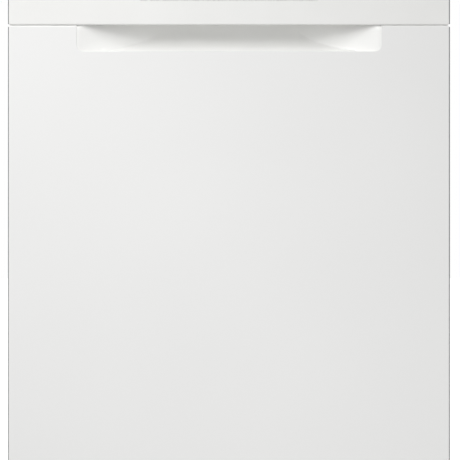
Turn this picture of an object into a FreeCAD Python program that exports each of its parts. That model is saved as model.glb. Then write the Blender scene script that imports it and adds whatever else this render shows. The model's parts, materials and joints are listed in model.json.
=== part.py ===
import FreeCAD, Part
import Sketcher
import math
import os
import re

# Built-in dishwasher, 60 cm class: a full-width door with a recessed grip under the control panel,
# a stainless tub with two racks and two spray arms, and a moulded base that holds the wet parts.
# Frame: +Z up, +X to the right seen from the front, the front faces -Y.
# The origin is on the floor, in the middle of the width and of the depth.

doc = FreeCAD.newDocument("built_in_dishwasher")
vec = FreeCAD.Vector

# ---------------------------------------------------------------- driving dimensions, millimetres
DIMENSIONS = {
    # outside
    "overall_width": 596, "overall_height": 818, "overall_depth": 570,
    # door
    "door_depth": 55, "door_clear": 104, "door_top_gap": 4, "door_sheet": 0.8, "door_round": 1.6,
    "panel_height": 116.4, "parting_gap": 1.2, "panel_wall": 2.5, "lip_width": 19,
    "bottom_return": 15, "top_return": 10, "hinge_back": 43, "hinge_rise": 18,
    # recessed grip
    "grip_width": 412, "grip_height": 36, "grip_corner": 9, "grip_ramp": 80, "grip_wall": 2.5,
    "grip_undercut": 12, "grip_flange": 8,
    # control strip
    "inset_width": 243, "inset_height": 56, "inset_rise": 33, "inset_sink": 0.5,
    "inset_gap": 0.7, "inset_flange": 4, "window_width": 84, "window_height": 30,
    "button_width": 15, "button_height": 9, "button_travel": 1.5, "button_proud": 0.9,
    "button_fit": 0.3, "button_flange": 2, "button_pitch": 27,
    # inner door
    "liner_sheet": 1, "liner_margin": 7, "liner_rise": 6, "liner_top_room": 20.5,
    "pan_depth": 16, "pan_side": 60, "pan_low": 190, "pan_top_room": 173, "pan_corner": 14,
    "notch_top": 152, "pad_thick": 5,
    # detergent dispenser
    "dispenser_width": 160, "dispenser_low": 362, "dispenser_height": 140, "dispenser_flange": 3,
    "cup_width": 70, "cup_height": 60, "cup_depth": 24, "lid_sheet": 2.5, "lid_overlap": 3,
    "lid_travel": 62, "guide_lip": 1.5, "rinse_radius": 20, "rinse_neck": 12,
    # tub
    "gasket_gap": 5, "tub_sheet": 1, "tub_side_room": 28, "tub_top_room": 32, "tub_corner": 30,
    "ledge_step": 0.2, "floor_drop": 18.5, "ledge_width": 26, "rear_space": 28, "sill_run": 12,
    "flange_width": 10,
    # casing
    "case_inset": 3, "case_sheet": 0.8, "case_flange": 11, "case_low": 62, "felt": 8,
    "felt_low": 200, "base_low": 20, "base_wall": 3, "base_top": 110, "base_setback": 73,
    "plinth_sheet": 1, "plinth_low": 30, "plinth_high": 98, "brace_height": 19, "brace_depth": 40,
    "brace_sheet": 1.2,
    # feet
    "foot_radius": 19, "foot_pad": 9, "spindle_radius": 5, "spindle_fit": 0.08, "foot_travel": 60,
    "boss_wall": 5, "foot_inset": 43, "foot_front_inset": 105, "foot_rear_inset": 45,
    # hinges
    "hinge_plate": 2.5, "hinge_half": 10, "pin_radius": 4, "pin_fit": 0.05, "bracket_inset": 19,
    "arm_inset": 24, "bracket_run": 92, "lever_run": 30, "strap_rise": 140,
    # racks
    "wire": 4, "rim_wire": 5, "wheel_radius": 18, "wheel_width": 10, "axle_radius": 3,
    "axle_fit": 0.05, "run_clearance": 0.5, "rack_front_gap": 14, "rack_side_room": 30,
    "rack_rear_room": 33, "lower_height": 170, "bend": 24, "wheel_front": 101, "wheel_rear": 74,
    "wheel_inset": 18, "tine_height": 72, "tine_wire": 4, "shaft_wire": 5, "tine_pitch": 36,
    "row_pitch": 84, "row_rear_room": 112, "body_clearance": 0.3,
    "upper_level": 428, "upper_height": 128, "rail_level": 507, "rail_height": 30,
    "rail_depth": 12, "rail_sheet": 1.5, "rail_rear_room": 40, "roller_width": 6,
    "roller_end": 27, "roller_pitch": 160, "carrier": 3,
    "shelf_width": 92, "shelf_length": 340, "shelf_sheet": 3, "shelf_rise": 74,
    # wet parts
    "arm_offset": 10, "lower_arm_room": 12, "upper_arm_room": 25, "arm_side_room": 52, "arm_width": 44,
    "arm_thick": 12, "arm_rise": 18, "arm_pin": 6, "sump_x": 96, "sump_y": 66, "sump_radius": 58,
    "filter_radius": 36, "duct_width": 42, "duct_depth": 13, "tube_radius": 11,
    "salt_x": -150, "salt_y": 70, "salt_radius": 36, "inlet_inset": 148, "gland_inset": 70,
    "drain_offset": 50, "port_level": 50,
}

# Sizes that follow from the others.
DERIVED = {
    "tub_width": "overall_width - 2 * tub_side_room",
    "tub_top": "overall_height - tub_top_room",
    "liner_top": "overall_height - liner_top_room",
    "pan_high": "overall_height - pan_top_room",
    "notch_half": "tub_width / 2 + 1",
    "bracket_x": "overall_width / 2 - bracket_inset",
    "arm_x": "overall_width / 2 - arm_inset",
    "foot_x": "overall_width / 2 - foot_inset",
    "foot_front": "foot_front_inset - overall_depth / 2",
    "foot_rear": "overall_depth / 2 - foot_rear_inset",
    "inlet_x": "inlet_inset - overall_width / 2",
    "gland_x": "overall_width / 2 - gland_inset",
    "drain_x": "sump_x + drain_offset",
    "rack_front": "door_depth + rack_front_gap - overall_depth / 2",
    "rack_back": "overall_depth / 2 - rear_space - rack_rear_room",
    "rack_half": "tub_width / 2 - rack_side_room",
    "wheel_out": "tub_width / 2 - wheel_inset",
    "rail_end": "overall_depth / 2 - rear_space - rail_rear_room",
    "roller_rear": "rail_end - roller_end",
    "roller_front": "roller_rear - roller_pitch",
    "row_rear": "rack_back - row_rear_room",
    "post_x": "tub_width / 2 - 70",
    "post_front": "foot_front + 50",
    "post_rear": "foot_rear - 25",
    "arm_y": "(rack_front + rack_back) / 2 + arm_offset",
    "lower_arm_reach": "min(arm_y - rack_front - lower_arm_room; tub_width / 2 - arm_side_room)",
    "upper_arm_reach": "min(arm_y - rack_front - upper_arm_room; tub_width / 2 - arm_side_room)",
}

sheet = doc.addObject("Spreadsheet::Sheet", "dims")
for row, (alias, value) in enumerate(DIMENSIONS.items(), start=1):
    sheet.set(f"A{row}", alias)
    sheet.set(f"B{row}", str(value))
    sheet.setAlias(f"B{row}", alias)
doc.recompute()

WORDS = re.compile(r"(?<![\w.])(" + "|".join(DIMENSIONS) + r")\b")
FOLLOWING = re.compile(r"\b(" + "|".join(DERIVED) + r")\b")


def spelled_out(text):
    """The expression with every following size replaced by what it follows from."""
    text = str(text)
    while FOLLOWING.search(text):
        text = FOLLOWING.sub(lambda word: f"({DERIVED[word.group(1)]})", text)
    return text


def bound(text):
    """An expression written with the aliases, as FreeCAD reads it."""
    return WORDS.sub(r"dims.\1", spelled_out(text))


def number(text):
    """The value of such an expression, in millimetres."""
    return float(sheet.evalExpression(spelled_out(text)))


def less(a, b):
    return f"({a}) - ({b})"


# ---------------------------------------------------------------- helpers: Part primitives
def put(thing, x, y, z):
    for axis, value in zip("xyz", (x, y, z)):
        thing.setExpression(f"Placement.Base.{axis}", bound(value))
    return thing


def block(label, x, y, z):
    """A box between pairs of places along X, Y and Z."""
    made = doc.addObject("Part::Box", label)
    for size, (low, high) in zip(("Length", "Width", "Height"), (x, y, z)):
        made.setExpression(size, bound(less(high, low)))
    return put(made, x[0], y[0], z[0])


TURN = {"X": (vec(0, 1, 0), 90), "Y": (vec(1, 0, 0), -90), "Z": (vec(0, 0, 1), 0)}


def rod(label, axis, radius, at, span):
    """A cylinder along an axis. at gives the other two places in X, Y, Z order."""
    made = doc.addObject("Part::Cylinder", label)
    made.setExpression("Radius", bound(radius))
    made.setExpression("Height", bound(less(span[1], span[0])))
    made.Placement = FreeCAD.Placement(vec(0, 0, 0), FreeCAD.Rotation(*TURN[axis]))
    places = list(at)
    places.insert("XYZ".index(axis), span[0])
    return put(made, *places)


def cone(label, axis, radii, at, span):
    made = doc.addObject("Part::Cone", label)
    made.setExpression("Radius1", bound(radii[0]))
    made.setExpression("Radius2", bound(radii[1]))
    made.setExpression("Height", bound(less(span[1], span[0])))
    made.Placement = FreeCAD.Placement(vec(0, 0, 0), FreeCAD.Rotation(*TURN[axis]))
    places = list(at)
    places.insert("XYZ".index(axis), span[0])
    return put(made, *places)


def fuse(label, *pieces):
    made = doc.addObject("Part::MultiFuse", label)
    made.Shapes = list(pieces)
    made.Refine = True
    return made


def cut(label, base, *tools):
    tool = tools[0] if len(tools) == 1 else fuse(label + "_tools", *tools)
    made = doc.addObject("Part::Cut", label)
    made.Base = base
    made.Tool = tool
    made.Refine = True
    return made


def common(label, *pieces):
    made = doc.addObject("Part::MultiCommon", label)
    made.Shapes = list(pieces)
    return made


def group(label, *pieces):
    """Separate solids that share one node."""
    made = doc.addObject("Part::Compound", label)
    made.Links = list(pieces)
    return made


def divided(label, whole, cells):
    """The parts of a solid inside each of the boxes, as touching solids of one node."""
    return group(label, *(common(f"{label}_{name}", whole, block(f"{label}_{name}_room", *cell))
                          for name, cell in cells.items()))


def mirrored(label, source):
    made = doc.addObject("Part::Mirroring", label)
    made.Source = source
    made.Base = vec(0, 0, 0)
    made.Normal = vec(1, 0, 0)
    return made


def both(label, source):
    """The piece and its mirror image across the middle plane, as two solids of one node."""
    return group(label, source, mirrored(label + "_mirrored", source))


def along(edge, axis):
    """Whether a straight edge runs along an axis."""
    if not isinstance(edge.Curve, Part.Line):
        return False
    return abs(abs(edge.Curve.Direction.dot(axis)) - 1) < 1e-6


# ---------------------------------------------------------------- helpers: PartDesign
PLANES = {"XY": "XY_Plane", "XZ": "XZ_Plane", "YZ": "YZ_Plane"}
NORMAL = {"XY": 1, "XZ": -1, "YZ": 1}


def new_body(label):
    body = doc.addObject("PartDesign::Body", label)
    doc.recompute()
    return body


def sketch_on(body, plane, level, name):
    """An empty sketch in one of the body's own origin planes, moved along the plane's axis to level."""
    sketch = body.newObject("Sketcher::SketchObject", name)
    origin = next(f for f in body.Origin.OriginFeatures if f.Role == PLANES[plane])
    sketch.AttachmentSupport = (origin, [""])
    sketch.MapMode = "FlatFace"
    sign = "-" if NORMAL[plane] < 0 else ""
    sketch.setExpression("AttachmentOffset.Base.z", bound(f"{sign}({level})"))
    return sketch


def outline(sketch, points):
    """Straight lines through the points, each held by a horizontal and a vertical distance."""
    spots = [vec(number(x), number(y), 0) for x, y in points]
    count = len(points)
    first = sketch.GeometryCount
    for here in range(count):
        sketch.addGeometry(Part.LineSegment(spots[here], spots[(here + 1) % count]), False)
    for here in range(count):
        after = (here + 1) % count
        sketch.addConstraint(Sketcher.Constraint("Coincident", first + here, 2, first + after, 1))
    for here, (x, y) in enumerate(points):
        for kind, value, place in (("DistanceX", x, spots[here].x), ("DistanceY", y, spots[here].y)):
            made = sketch.addConstraint(
                Sketcher.Constraint(kind, -1, 1, first + here, 1, place))
            sketch.setExpression(f"Constraints[{made}]", bound(value))
    return sketch


def circles(sketch, spots):
    """Circles at (x, y, radius), held by distances and a radius."""
    for x, y, radius in spots:
        here = sketch.addGeometry(
            Part.Circle(vec(number(x), number(y), 0), vec(0, 0, 1), number(radius)), False)
        for kind, value in (("DistanceX", x), ("DistanceY", y)):
            made = sketch.addConstraint(
                Sketcher.Constraint(kind, -1, 1, here, 3, number(value)))
            sketch.setExpression(f"Constraints[{made}]", bound(value))
        made = sketch.addConstraint(Sketcher.Constraint("Radius", here, number(radius)))
        sketch.setExpression(f"Constraints[{made}]", bound(radius))
    return sketch


def rectangle(x, y):
    return [(x[0], y[0]), (x[1], y[0]), (x[1], y[1]), (x[0], y[1])]


def pad(body, sketch, length, name="Pad"):
    """Material from the sketch towards the plane's positive world axis."""
    made = body.newObject("PartDesign::Pad", name)
    made.Profile = sketch
    made.setExpression("Length", bound(length))
    made.Reversed = made.Profile[0].AttachmentSupport[0][0].Role == "XZ_Plane"
    return made


def pocket(body, sketch, length, name="Pocket"):
    """A cut from the sketch towards the plane's positive world axis, which has to remove material."""
    doc.recompute()
    before = body.Shape.Volume
    made = body.newObject("PartDesign::Pocket", name)
    made.Profile = sketch
    made.setExpression("Length", bound(length))
    made.Reversed = made.Profile[0].AttachmentSupport[0][0].Role != "XZ_Plane"
    doc.recompute()
    if not body.Shape.Volume < before:
        raise ValueError(f"{body.Label}: {name} cuts nothing")
    return made


def prism(label, plane, points, span):
    """A body padded from an outline between two places along the plane's axis."""
    body = new_body(label)
    pad(body, outline(sketch_on(body, plane, span[0], "profile"), points), less(span[1], span[0]))
    return body


def hollow(body, plane, points, span, name):
    return pocket(body, outline(sketch_on(body, plane, span[0], name + "_profile"), points),
                  less(span[1], span[0]), name)


def soften(body, radius, test, name="Fillet"):
    """A fillet in the body on the edges whose middle point passes the test."""
    doc.recompute()
    tip = body.Tip
    names = []
    for place, edge in enumerate(tip.Shape.Edges, start=1):
        middle = edge.valueAt((edge.FirstParameter + edge.LastParameter) / 2)
        if test(edge, middle):
            names.append(f"Edge{place}")
    if not names:
        raise ValueError(f"{body.Label}: no edge to round")
    made = body.newObject("PartDesign::Fillet", name)
    made.Base = (tip, names)
    made.setExpression("Radius", bound(radius))
    return made


# ---------------------------------------------------------------- helpers: wires
def pipe(points, radius, bend):
    """A round wire along straight runs joined by tangent arcs of radius bend."""
    spots = [vec(*p) for p in points]
    edges = []
    start = spots[0]
    for before, corner, after in zip(spots, spots[1:], spots[2:]):
        arrive = (corner - before).normalize()
        leave = (after - corner).normalize()
        half = arrive.getAngle(leave) / 2
        back = bend * math.tan(half)
        first, last = corner - arrive * back, corner + leave * back
        towards = (leave - arrive).normalize()
        middle = corner + towards * (bend / math.cos(half) - bend)
        if (first - start).Length > 1e-6:
            edges.append(Part.LineSegment(start, first).toShape())
        edges.append(Part.Arc(first, middle, last).toShape())
        start = last
    edges.append(Part.LineSegment(start, spots[-1]).toShape())
    path = Part.Wire(edges)
    ring = Part.Wire(Part.Circle(spots[0], (spots[1] - spots[0]).normalize(), radius).toShape())
    return path.makePipeShell([ring], True, False)


def ring_of_wire(half_x, y, z, radius, bend):
    """A closed rectangular loop of wire with round corners, split where a run crosses the middle."""
    corners = [(0, y[0]), (half_x, y[0]), (half_x, y[1]), (0, y[1])]
    half = pipe([(x, b, z) for x, b in corners], radius, bend)
    return half.fuse(half.mirror(vec(0, 0, 0), vec(1, 0, 0))).removeSplitter()


def straight(radius, start, end):
    run = vec(*end) - vec(*start)
    return Part.makeCylinder(radius, run.Length, vec(*start), run)


def shaped(label, shapes):
    """A node whose shape part of this script makes: one solid, or several that share the node."""
    made = doc.addObject("Part::Feature", label)
    made.Shape = shapes[0] if len(shapes) == 1 else Part.makeCompound(shapes)
    made.Placement = FreeCAD.Placement()
    return made


# ---------------------------------------------------------------- places worked out from the sizes
HALF = "(overall_width / 2)"
FRONT = "(-overall_depth / 2)"
BACK = "(overall_depth / 2)"
LINER = f"({FRONT} + door_depth)"
TUB_FRONT = f"({LINER} + gasket_gap)"
TUB_BACK = f"({BACK} - rear_space)"
TUB_HALF = "(tub_width / 2)"
CASE_HALF = f"({HALF} - case_inset)"
BASE_FRONT = f"({FRONT} + base_setback)"
BASE_HALF = f"({CASE_HALF} - case_sheet)"
DOOR_TOP = "(overall_height - door_top_gap)"
SEAM_HIGH = f"({DOOR_TOP} - panel_height)"
SEAM_LOW = f"({SEAM_HIGH} - parting_gap)"
GRIP_LOW = f"({SEAM_HIGH} - grip_height)"
PIVOT_Y = f"({FRONT} + hinge_back)"
PIVOT_Z = "(door_clear + hinge_rise)"
OPEN_LEVEL = f"({PIVOT_Z} + door_depth - hinge_back)"
LEDGE = f"({OPEN_LEVEL} - ledge_step)"
FLOOR = f"({LEDGE} - floor_drop)"
UNDER_TUB = f"({FLOOR} - tub_sheet)"
ARM_LOW = f"({FLOOR} + arm_rise)"
AXLE_Z = f"({LEDGE} + run_clearance + wheel_radius)"
WHEEL_FRONT = "(rack_front + wheel_front)"
WHEEL_REAR = "(rack_back - wheel_rear)"
UP = vec(0, 0, 1)
DEEP = vec(0, 1, 0)


def span(middle, half):
    return f"{middle} - {half}", f"{middle} + {half}"


def sides(half):
    return f"-({half})", f"({half})"


def near(value, text, room=0.01):
    return abs(value - number(text)) < room


# ================================================================ door: outer shell
def door_panel():
    """Folded steel sheet: flat front, side walls with inward lips, short returns at top and bottom."""
    behind = f"{LINER} - liner_sheet"
    body = prism("door_panel", "XZ", rectangle(sides(HALF), ("door_clear", SEAM_LOW)),
                 (FRONT, behind))
    soften(body, "door_round", lambda edge, at: near(at.y, FRONT), "front_edges")
    hollow(body, "XZ", rectangle(sides(f"{HALF} - door_sheet"),
                                 ("door_clear + door_sheet", f"{SEAM_LOW} - door_sheet")),
           (f"{FRONT} + door_sheet", f"{behind} - door_sheet"), "cavity")
    hollow(body, "XZ", rectangle(sides(f"{HALF} - lip_width"), ("notch_top", f"{SEAM_LOW} - door_sheet")),
           (f"{behind} - door_sheet", behind), "rear_opening")
    hollow(body, "XZ", rectangle(sides(f"{HALF} - door_sheet"), ("door_clear", "notch_top")),
           (f"{FRONT} + bottom_return", behind), "hinge_notch")
    hollow(body, "XZ", rectangle(sides(f"{HALF} - door_sheet"), (f"{SEAM_LOW} - door_sheet", SEAM_LOW)),
           (f"{FRONT} + top_return", behind), "open_top")
    hollow(body, "XZ", rectangle(sides("grip_width / 2"), (GRIP_LOW, f"{SEAM_LOW} + 1")),
           (f"{FRONT} - 1", f"{FRONT} + top_return + 1"), "grip_cut_out")
    hollow(body, "XZ",
           rectangle(sides("grip_width / 2 + grip_flange"), (f"{SEAM_LOW} - 2 * door_sheet", f"{SEAM_LOW} + 1")),
           (f"{FRONT} + door_sheet", f"{FRONT} + top_return + 1"), "grip_relief")
    soften(body, "grip_corner", lambda edge, at: along(edge, DEEP) and near(at.z, GRIP_LOW)
           and near(abs(at.x), "grip_width / 2"), "grip_corners")
    return body


def control_panel():
    """Moulded shell above the seam, open at the back, with an opening for the control strip."""
    behind = f"{LINER} - liner_sheet"
    body = prism("control_panel", "XZ", rectangle(sides(HALF), (SEAM_HIGH, DOOR_TOP)),
                 (FRONT, behind))
    soften(body, "door_round", lambda edge, at: near(at.y, FRONT), "front_edges")
    hollow(body, "XZ", rectangle(sides(f"{HALF} - panel_wall"),
                                 (f"{SEAM_HIGH} + panel_wall", f"{DOOR_TOP} - panel_wall")),
           (f"{FRONT} + panel_wall", behind), "cavity")
    hollow(body, "XZ", rectangle(sides("inset_width / 2"),
                                 (f"{SEAM_HIGH} + inset_rise", f"{SEAM_HIGH} + inset_rise + inset_height")),
           (FRONT, f"{FRONT} + panel_wall"), "strip_opening")
    hollow(body, "XZ", rectangle(sides("grip_width / 2 + grip_wall"), (SEAM_HIGH, f"{SEAM_HIGH} + panel_wall")),
           (f"{FRONT} + panel_wall", f"{FRONT} + grip_height + grip_wall + body_clearance"), "grip_clearance")
    return body


def grip_ends(extra, low, high):
    """The plan of the scoop: full width at the front and narrower at the back, where both ends slope in."""
    half = "grip_width / 2"
    plan = [(f"-({half} + {extra})", FRONT), (f"{half} + {extra}", FRONT),
            (f"{half} - grip_ramp + {extra}", f"{FRONT} + grip_height + {extra}"),
            (f"-({half} - grip_ramp + {extra})", f"{FRONT} + grip_height + {extra}")]
    return prism("grip_plan", "XY", plan, (low, high))


def grip_room(extra, top):
    """A quarter-round trough with its axis on the seam, continued upwards behind the panel's lip."""
    reach = f"(grip_height + {extra})"
    trough = rod("grip_trough", "X", reach, (FRONT, SEAM_HIGH), sides("grip_width / 2 + grip_wall"))
    above = block("grip_above", sides("grip_width / 2 + grip_wall"),
                  (f"{FRONT} - {reach}", f"{FRONT} + {reach}"), (SEAM_HIGH, top))
    below = block("grip_below", sides("grip_width / 2 + grip_wall"),
                  (f"{FRONT} - {reach}", f"{FRONT} + {reach}"), (f"{SEAM_HIGH} - {reach}", top))
    section = common("grip_round", fuse("grip_section", trough, above), below)
    return common("grip_room", section, grip_ends(extra, f"{SEAM_HIGH} - {reach}", top))


def grip_cup():
    """The white scoop that fingers go into: thin wall, two sloping ends, a flange behind the sheet."""
    top = f"{SEAM_HIGH} + grip_undercut"
    outer = grip_room("grip_wall", f"{top} + grip_wall")
    inner = grip_room("0", top)
    flange = block("grip_flange_plate", sides("grip_width / 2 + grip_flange"),
                   (f"{FRONT} + door_sheet", f"{FRONT} + 2 * door_sheet"),
                   (f"{GRIP_LOW} - grip_flange", f"{SEAM_LOW} - 2 * door_sheet"))
    sheet_side = block("grip_sheet_side", sides(f"{HALF}"),
                       (f"{FRONT} - 2 * grip_height", f"{FRONT} + door_sheet"),
                       (f"{GRIP_LOW} - grip_height", f"{SEAM_HIGH} + panel_height"))
    lip_side = block("grip_lip_side", sides(f"{HALF}"),
                     (f"{FRONT} - 2 * grip_height", f"{FRONT} + panel_wall + body_clearance"),
                     (f"{SEAM_HIGH} - parting_gap", f"{SEAM_HIGH} + panel_height"))
    return cut("grip_cup", fuse("grip_outside", outer, flange), inner, sheet_side, lip_side)


# ================================================================ door: controls
STRIP_LOW = f"({SEAM_HIGH} + inset_rise + inset_gap)"
STRIP_HIGH = f"({SEAM_HIGH} + inset_rise + inset_height - inset_gap)"
STRIP_MIDDLE = f"({SEAM_HIGH} + inset_rise + inset_height / 2)"
STRIP_FACE = f"({FRONT} + inset_sink)"
STRIP_BACK = f"({FRONT} + panel_wall + inset_flange / 2)"
BUTTONS = {
    "power_button": "-(inset_width / 2 - button_pitch)",
    "program_button": "(window_width / 2 + button_pitch)",
    "start_button": "(inset_width / 2 - button_pitch)",
}


def control_inset():
    """The strip with the window and the buttons: a plate in the opening with a flange behind the wall."""
    body = prism("control_inset", "XZ", rectangle(sides("inset_width / 2 - inset_gap"), (STRIP_LOW, STRIP_HIGH)),
                 (STRIP_FACE, f"{FRONT} + panel_wall"))
    flange = outline(sketch_on(body, "XZ", f"{FRONT} + panel_wall", "flange_profile"),
                     rectangle(sides("inset_width / 2 + inset_flange"),
                               (f"{STRIP_LOW} - inset_flange", f"{STRIP_HIGH} + inset_flange")))
    pad(body, flange, less(STRIP_BACK, f"{FRONT} + panel_wall"), "flange")
    through = (STRIP_FACE, STRIP_BACK)
    hollow(body, "XZ", rectangle(sides("window_width / 2"), span(STRIP_MIDDLE, "window_height / 2")),
           through, "window_hole")
    for label, x in BUTTONS.items():
        hollow(body, "XZ", rectangle(span(x, "button_width / 2"), span(STRIP_MIDDLE, "button_height / 2")),
               through, label + "_hole")
    return body


def display_window():
    """A smoked glass plate that fills the window hole."""
    return prism("display_window", "XZ",
                 rectangle(sides("window_width / 2 - inset_gap / 2"),
                           span(STRIP_MIDDLE, "(window_height / 2 - inset_gap / 2)")),
                 (STRIP_FACE, f"{FRONT} + panel_wall"))


def button(label, x):
    """A push button: a cap with rounded corners and a flange that keeps it behind the strip."""
    back = f"{STRIP_BACK} + button_flange + 2 * button_travel"
    body = prism(label, "XZ", rectangle(span(x, "(button_width / 2 - button_fit)"),
                                        span(STRIP_MIDDLE, "(button_height / 2 - button_fit)")),
                 (f"{STRIP_FACE} - button_proud", back))
    soften(body, "button_height / 4", lambda edge, at: along(edge, DEEP), "cap_corners")
    flange = outline(sketch_on(body, "XZ", f"{STRIP_BACK} + button_fit", "flange_profile"),
                     rectangle(span(x, "(button_width / 2 + button_flange)"),
                               span(STRIP_MIDDLE, "(button_height / 2 + button_flange)")))
    pad(body, flange, "button_flange", "flange")
    return body


BOARD_FACE = f"({STRIP_BACK} + button_flange + 4 * button_travel)"


def control_board():
    """The electronics tray behind the strip, with its circuit board and three switches."""
    tray = block("board_tray", sides("inset_width / 2"), (f"{BOARD_FACE} + 2", f"{BOARD_FACE} + 22"),
                 (f"{STRIP_LOW} - 2", f"{STRIP_HIGH} + 4"))
    room = block("board_room", sides("inset_width / 2 - 2"), (f"{BOARD_FACE} + 2", f"{BOARD_FACE} + 20"),
                 (STRIP_LOW, f"{STRIP_HIGH} + 2"))
    board = block("board_sheet", sides("inset_width / 2 - 2"), (f"{BOARD_FACE} + 2", f"{BOARD_FACE} + 3.6"),
                  (STRIP_LOW, f"{STRIP_HIGH} + 2"))
    switches = [block(label + "_switch", span(x, 3), (BOARD_FACE, f"{BOARD_FACE} + 2"), span(STRIP_MIDDLE, 3))
                for label, x in BUTTONS.items()]
    return fuse("control_board", cut("board_case", tray, room), board, *switches)


# ================================================================ door: inner side
def door_liner():
    """Deep-drawn stainless sheet: a flat rim that meets the gasket round a sunken pan."""
    low = f"({PIVOT_Z} + liner_rise)"
    pan_half = f"({HALF} - pan_side)"
    body = prism("door_liner", "XZ", rectangle(sides(f"{HALF} - liner_margin"), (low, "liner_top")),
                 (f"{LINER} - liner_sheet", LINER))
    shell = outline(sketch_on(body, "XZ", f"{LINER} - pan_depth - liner_sheet", "pan_profile"),
                    rectangle(sides(f"{pan_half} + liner_sheet"),
                              ("pan_low - liner_sheet", "pan_high + liner_sheet")))
    pad(body, shell, "pan_depth", "pan")
    hollow(body, "XZ", rectangle(sides(pan_half), ("pan_low", "pan_high")),
           (f"{LINER} - pan_depth", LINER), "pan_room")
    soften(body, "pan_corner", lambda edge, at: along(edge, DEEP) and near(abs(at.x), pan_half),
           "room_corners")
    soften(body, "pan_corner + liner_sheet", lambda edge, at: along(edge, DEEP)
           and near(abs(at.x), f"{pan_half} + liner_sheet"), "pan_corners")
    for side, label in ((("notch_half", HALF), "right_notch"), ((f"-{HALF}", "-notch_half"), "left_notch")):
        hollow(body, "XZ", rectangle(side, (low, "notch_top")), (f"{LINER} - liner_sheet", LINER), label)
    hollow(body, "XZ", rectangle(sides("dispenser_width / 2 - dispenser_flange"),
                                 ("dispenser_low + dispenser_flange",
                                  "dispenser_low + dispenser_height - dispenser_flange")),
           (f"{LINER} - pan_depth - liner_sheet", f"{LINER} - pan_depth"), "dispenser_cut_out")
    return body


def door_screws():
    """Screws that hold the liner to the lips of the outer panel, four on each side."""
    x = f"{HALF} - liner_margin - 4"
    heights = ["notch_top + 20", "pan_low + (pan_high - pan_low) / 3",
               "pan_low + (pan_high - pan_low) * 2 / 3", "pan_high + 30"]
    screws = []
    for n, z in enumerate(heights):
        head = rod(f"screw_head_{n}", "Y", 3.6, (x, z), (LINER, f"{LINER} + 1.6"))
        screws += [head, mirrored(f"screw_head_{n}_mirrored", head)]
    return group("door_screws", *screws)


def door_insulation():
    """A bitumen-backed felt sheet on the inside of the outer panel."""
    return prism("door_insulation", "XZ",
                 rectangle(sides(f"{HALF} - 2 * lip_width"), ("door_clear + bottom_return", f"{GRIP_LOW} - 12")),
                 (f"{FRONT} + door_sheet", f"{FRONT} + door_sheet + pad_thick"))


PAN_FACE = f"({LINER} - pan_depth)"
CUP_LEFT = "(-dispenser_width / 2 + 15)"
CUP_LOW = "(dispenser_low + 12)"
GUIDE_FACE = f"({PAN_FACE} + dispenser_flange)"


RINSE_AT = ("(dispenser_width / 2 - rinse_radius - 12)", "(dispenser_low + dispenser_height / 3)")


def dispenser_housing():
    """Plastic box let into the liner, with the detergent cup and two guides for its lid."""
    body = prism("dispenser_housing", "XZ",
                 rectangle(sides("dispenser_width / 2"), ("dispenser_low", "dispenser_low + dispenser_height")),
                 (PAN_FACE, GUIDE_FACE))
    soften(body, 8, lambda edge, at: along(edge, DEEP), "corners")
    rear = outline(sketch_on(body, "XZ", f"{GUIDE_FACE} - cup_depth - 3", "rear_profile"),
                   rectangle(sides("dispenser_width / 2 - dispenser_flange - body_clearance"),
                             ("dispenser_low + dispenser_flange + body_clearance",
                              "dispenser_low + dispenser_height - dispenser_flange - body_clearance")))
    pad(body, rear, less(PAN_FACE, f"{GUIDE_FACE} - cup_depth - 3"), "rear_box")
    hollow(body, "XZ", rectangle((CUP_LEFT, f"{CUP_LEFT} + cup_width"), (CUP_LOW, f"{CUP_LOW} + cup_height")),
           (f"{GUIDE_FACE} - cup_depth", GUIDE_FACE), "cup")
    for label, side in (("left_guide", (f"{CUP_LEFT} - lid_overlap - 4",
                                        f"{CUP_LEFT} - lid_overlap - body_clearance")),
                        ("right_guide", (f"{CUP_LEFT} + cup_width + lid_overlap + body_clearance",
                                         f"{CUP_LEFT} + cup_width + lid_overlap + 4"))):
        rail = outline(sketch_on(body, "XZ", GUIDE_FACE, label + "_profile"),
                       rectangle(side, (f"{CUP_LOW} - lid_overlap",
                                        f"{CUP_LOW} + cup_height + lid_overlap + lid_travel")))
        pad(body, rail, "lid_sheet + 2 * body_clearance", label)
    for label, side in (("left_lip", (f"{CUP_LEFT} - lid_overlap - 4", f"{CUP_LEFT} - lid_overlap / 3")),
                        ("right_lip", (f"{CUP_LEFT} + cup_width + lid_overlap / 3",
                                       f"{CUP_LEFT} + cup_width + lid_overlap + 4"))):
        lip = outline(sketch_on(body, "XZ", f"{GUIDE_FACE} + lid_sheet + 2 * body_clearance", label + "_profile"),
                      rectangle(side, (f"{CUP_LOW} - lid_overlap",
                                       f"{CUP_LOW} + cup_height + lid_overlap + lid_travel")))
        pad(body, lip, "guide_lip", label)
    neck = circles(sketch_on(body, "XZ", f"{GUIDE_FACE} - 8", "neck_profile"),
                   [(RINSE_AT[0], RINSE_AT[1], "rinse_neck + axle_fit")])
    pocket(body, neck, 8, "neck")
    return body


def dispenser_lid():
    """The sliding lid of the detergent cup, with a ridge to push it by."""
    face = f"({GUIDE_FACE} + body_clearance)"
    body = prism("dispenser_lid", "XZ",
                 rectangle((f"{CUP_LEFT} - lid_overlap", f"{CUP_LEFT} + cup_width + lid_overlap"),
                           (f"{CUP_LOW} - lid_overlap", f"{CUP_LOW} + cup_height + lid_overlap")),
                 (face, f"{face} + lid_sheet"))
    ridge = outline(sketch_on(body, "XZ", f"{face} + lid_sheet", "ridge_profile"),
                    rectangle((f"{CUP_LEFT} + 15", f"{CUP_LEFT} + cup_width - 15"),
                              (f"{CUP_LOW} + 6", f"{CUP_LOW} + 10")))
    pad(body, ridge, 3, "ridge")
    return body


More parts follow.
